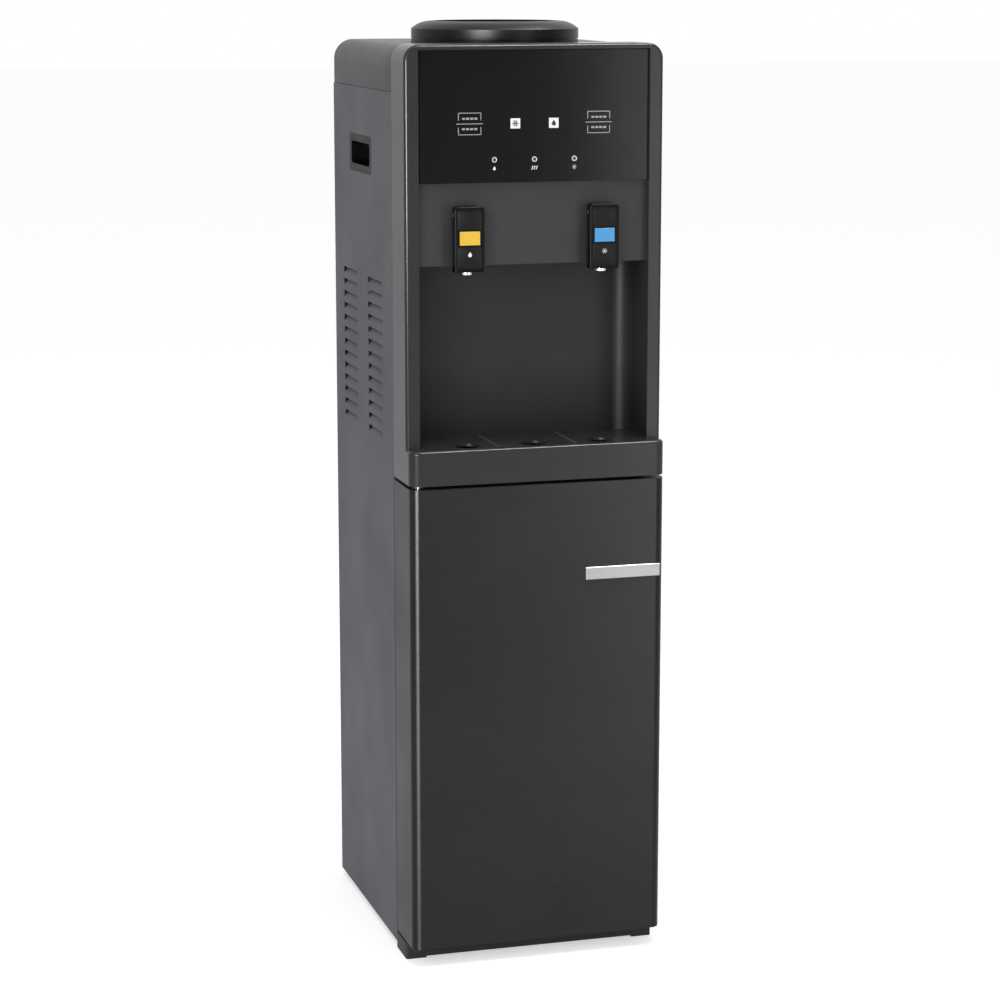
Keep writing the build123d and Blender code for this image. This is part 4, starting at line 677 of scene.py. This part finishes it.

# return springs of the taps, with a closed turn at each end, made at rest and not pressed by the
# plunger
spring = {
    "wire": 0.0005, "sides": 10, "closedTurns": 1, "openTurns": 4, "steps": 28,
    "travel": 0.004,
}


def coilSpring(low, high):
    # wire section wound about Y: close at both ends, open between them
    shape = bmesh.new()
    wire = spring["wire"]
    middle = (low + high) / 2
    section = bmesh.ops.create_circle(
        shape, cap_ends=False, segments=spring["sides"], radius=wire)["verts"]
    bmesh.ops.translate(shape, vec=(high.x - wire, low.y + wire, middle.z), verts=section)
    closedRise = 2 * wire * spring["closedTurns"]
    openRise = high.y - low.y - 2 * wire - 2 * closedRise
    closedRun = (spring["closedTurns"], closedRise)
    wound = section + shape.edges[:]
    for turns, rise in (closedRun, (spring["openTurns"], openRise), closedRun):
        steps = turns * spring["steps"]
        wound = bmesh.ops.spin(
            shape, geom=wound, cent=middle, axis=(0, 1, 0), dvec=(0, rise / steps, 0),
            angle=2 * math.pi * turns, steps=steps)["geom_last"]
    bmesh.ops.holes_fill(shape, edges=openEdges(shape), sides=0)
    return shape


for sideName in ("hot", "cold"):
    low, high = (Vector(corner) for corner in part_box(sideName + "_tap_spring"))
    springPiece = makePiece(
        sideName + "ReturnSpring", coilSpring(low, high), "screwSteel", "cabinet",
        smooth=True)
    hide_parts(sideName + "_tap_spring")
    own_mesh(springPiece)
print("springs made")

# pan-head screws with a cross recess, in two upright rows on the rear panel's rim
screw = {
    "x": 0.148, "lowest": 0.052, "highest": 0.9785, "rows": 5,
    "recess": 0.0017, "slot": 0.00035, "deep": 0.0011, "taper": 0.8,
    "head": [(0.0030, 0.0020), (0.0036, 0.00175), (0.0039, 0.0012), (0.0040, 0.0005),
             (0.0040, 0.0)],
    "shank": [(0.0019, 0.0), (0.0019, -0.009)], "headHigh": 0.002,
}


def panScrew():
    # square patch with a sunk cross, its rim drawn out round, over the head and down the shank
    shape = bmesh.new()
    recess = screw["recess"]
    patch = bmesh.ops.create_grid(shape, x_segments=3, y_segments=3, size=recess)["verts"]
    for vert in patch:
        for axis in (0, 1):
            if abs(vert.co[axis]) < recess / 2:
                vert.co[axis] = math.copysign(screw["slot"], vert.co[axis])
    cross = []
    for face in shape.faces:
        if min(map(abs, face.calc_center_median().xy)) < screw["slot"] / 2:
            cross.append(face)
    bmesh.ops.bisect_edges(shape, edges=openEdges(shape), cuts=1)
    rim = openEdges(shape)
    for radius, height in screw["head"] + screw["shank"]:
        rim, moved = grow(shape, rim)
        for vert in moved:
            vert.co = (*vert.co.xy.normalized() * radius, height - screw["headHigh"])
    bmesh.ops.holes_fill(shape, edges=rim, sides=0)
    bottom = vertsOf(bmesh.ops.extrude_face_region(shape, geom=cross)["geom"])
    bmesh.ops.scale(shape, vec=(screw["taper"], screw["taper"], 1), verts=bottom)
    bmesh.ops.translate(shape, vec=(0, 0, -screw["deep"]), verts=bottom)
    bmesh.ops.delete(shape, geom=cross, context="FACES")
    bmesh.ops.rotate(shape, cent=(0, 0, 0), matrix=pointBack, verts=shape.verts)
    return shape


screws = panScrew()
model = screws.verts[:] + screws.edges[:] + screws.faces[:]
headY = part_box("rear_panel")[1][1] + screw["headHigh"]
pitch = (screw["highest"] - screw["lowest"]) / (screw["rows"] - 1)
for side in (-1, 1):
    for row in range(screw["rows"]):
        copied = vertsOf(bmesh.ops.duplicate(screws, geom=model)["geom"])
        place = (side * screw["x"], headY, screw["lowest"] + row * pitch)
        bmesh.ops.translate(screws, vec=place, verts=copied)
bmesh.ops.delete(screws, geom=vertsOf(model), context="VERTS")
screwPiece = makePiece(
    "rearPanelScrews", screws, "screwSteel", "cabinet", smooth=True)
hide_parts("rear_screws")
print("screws made")
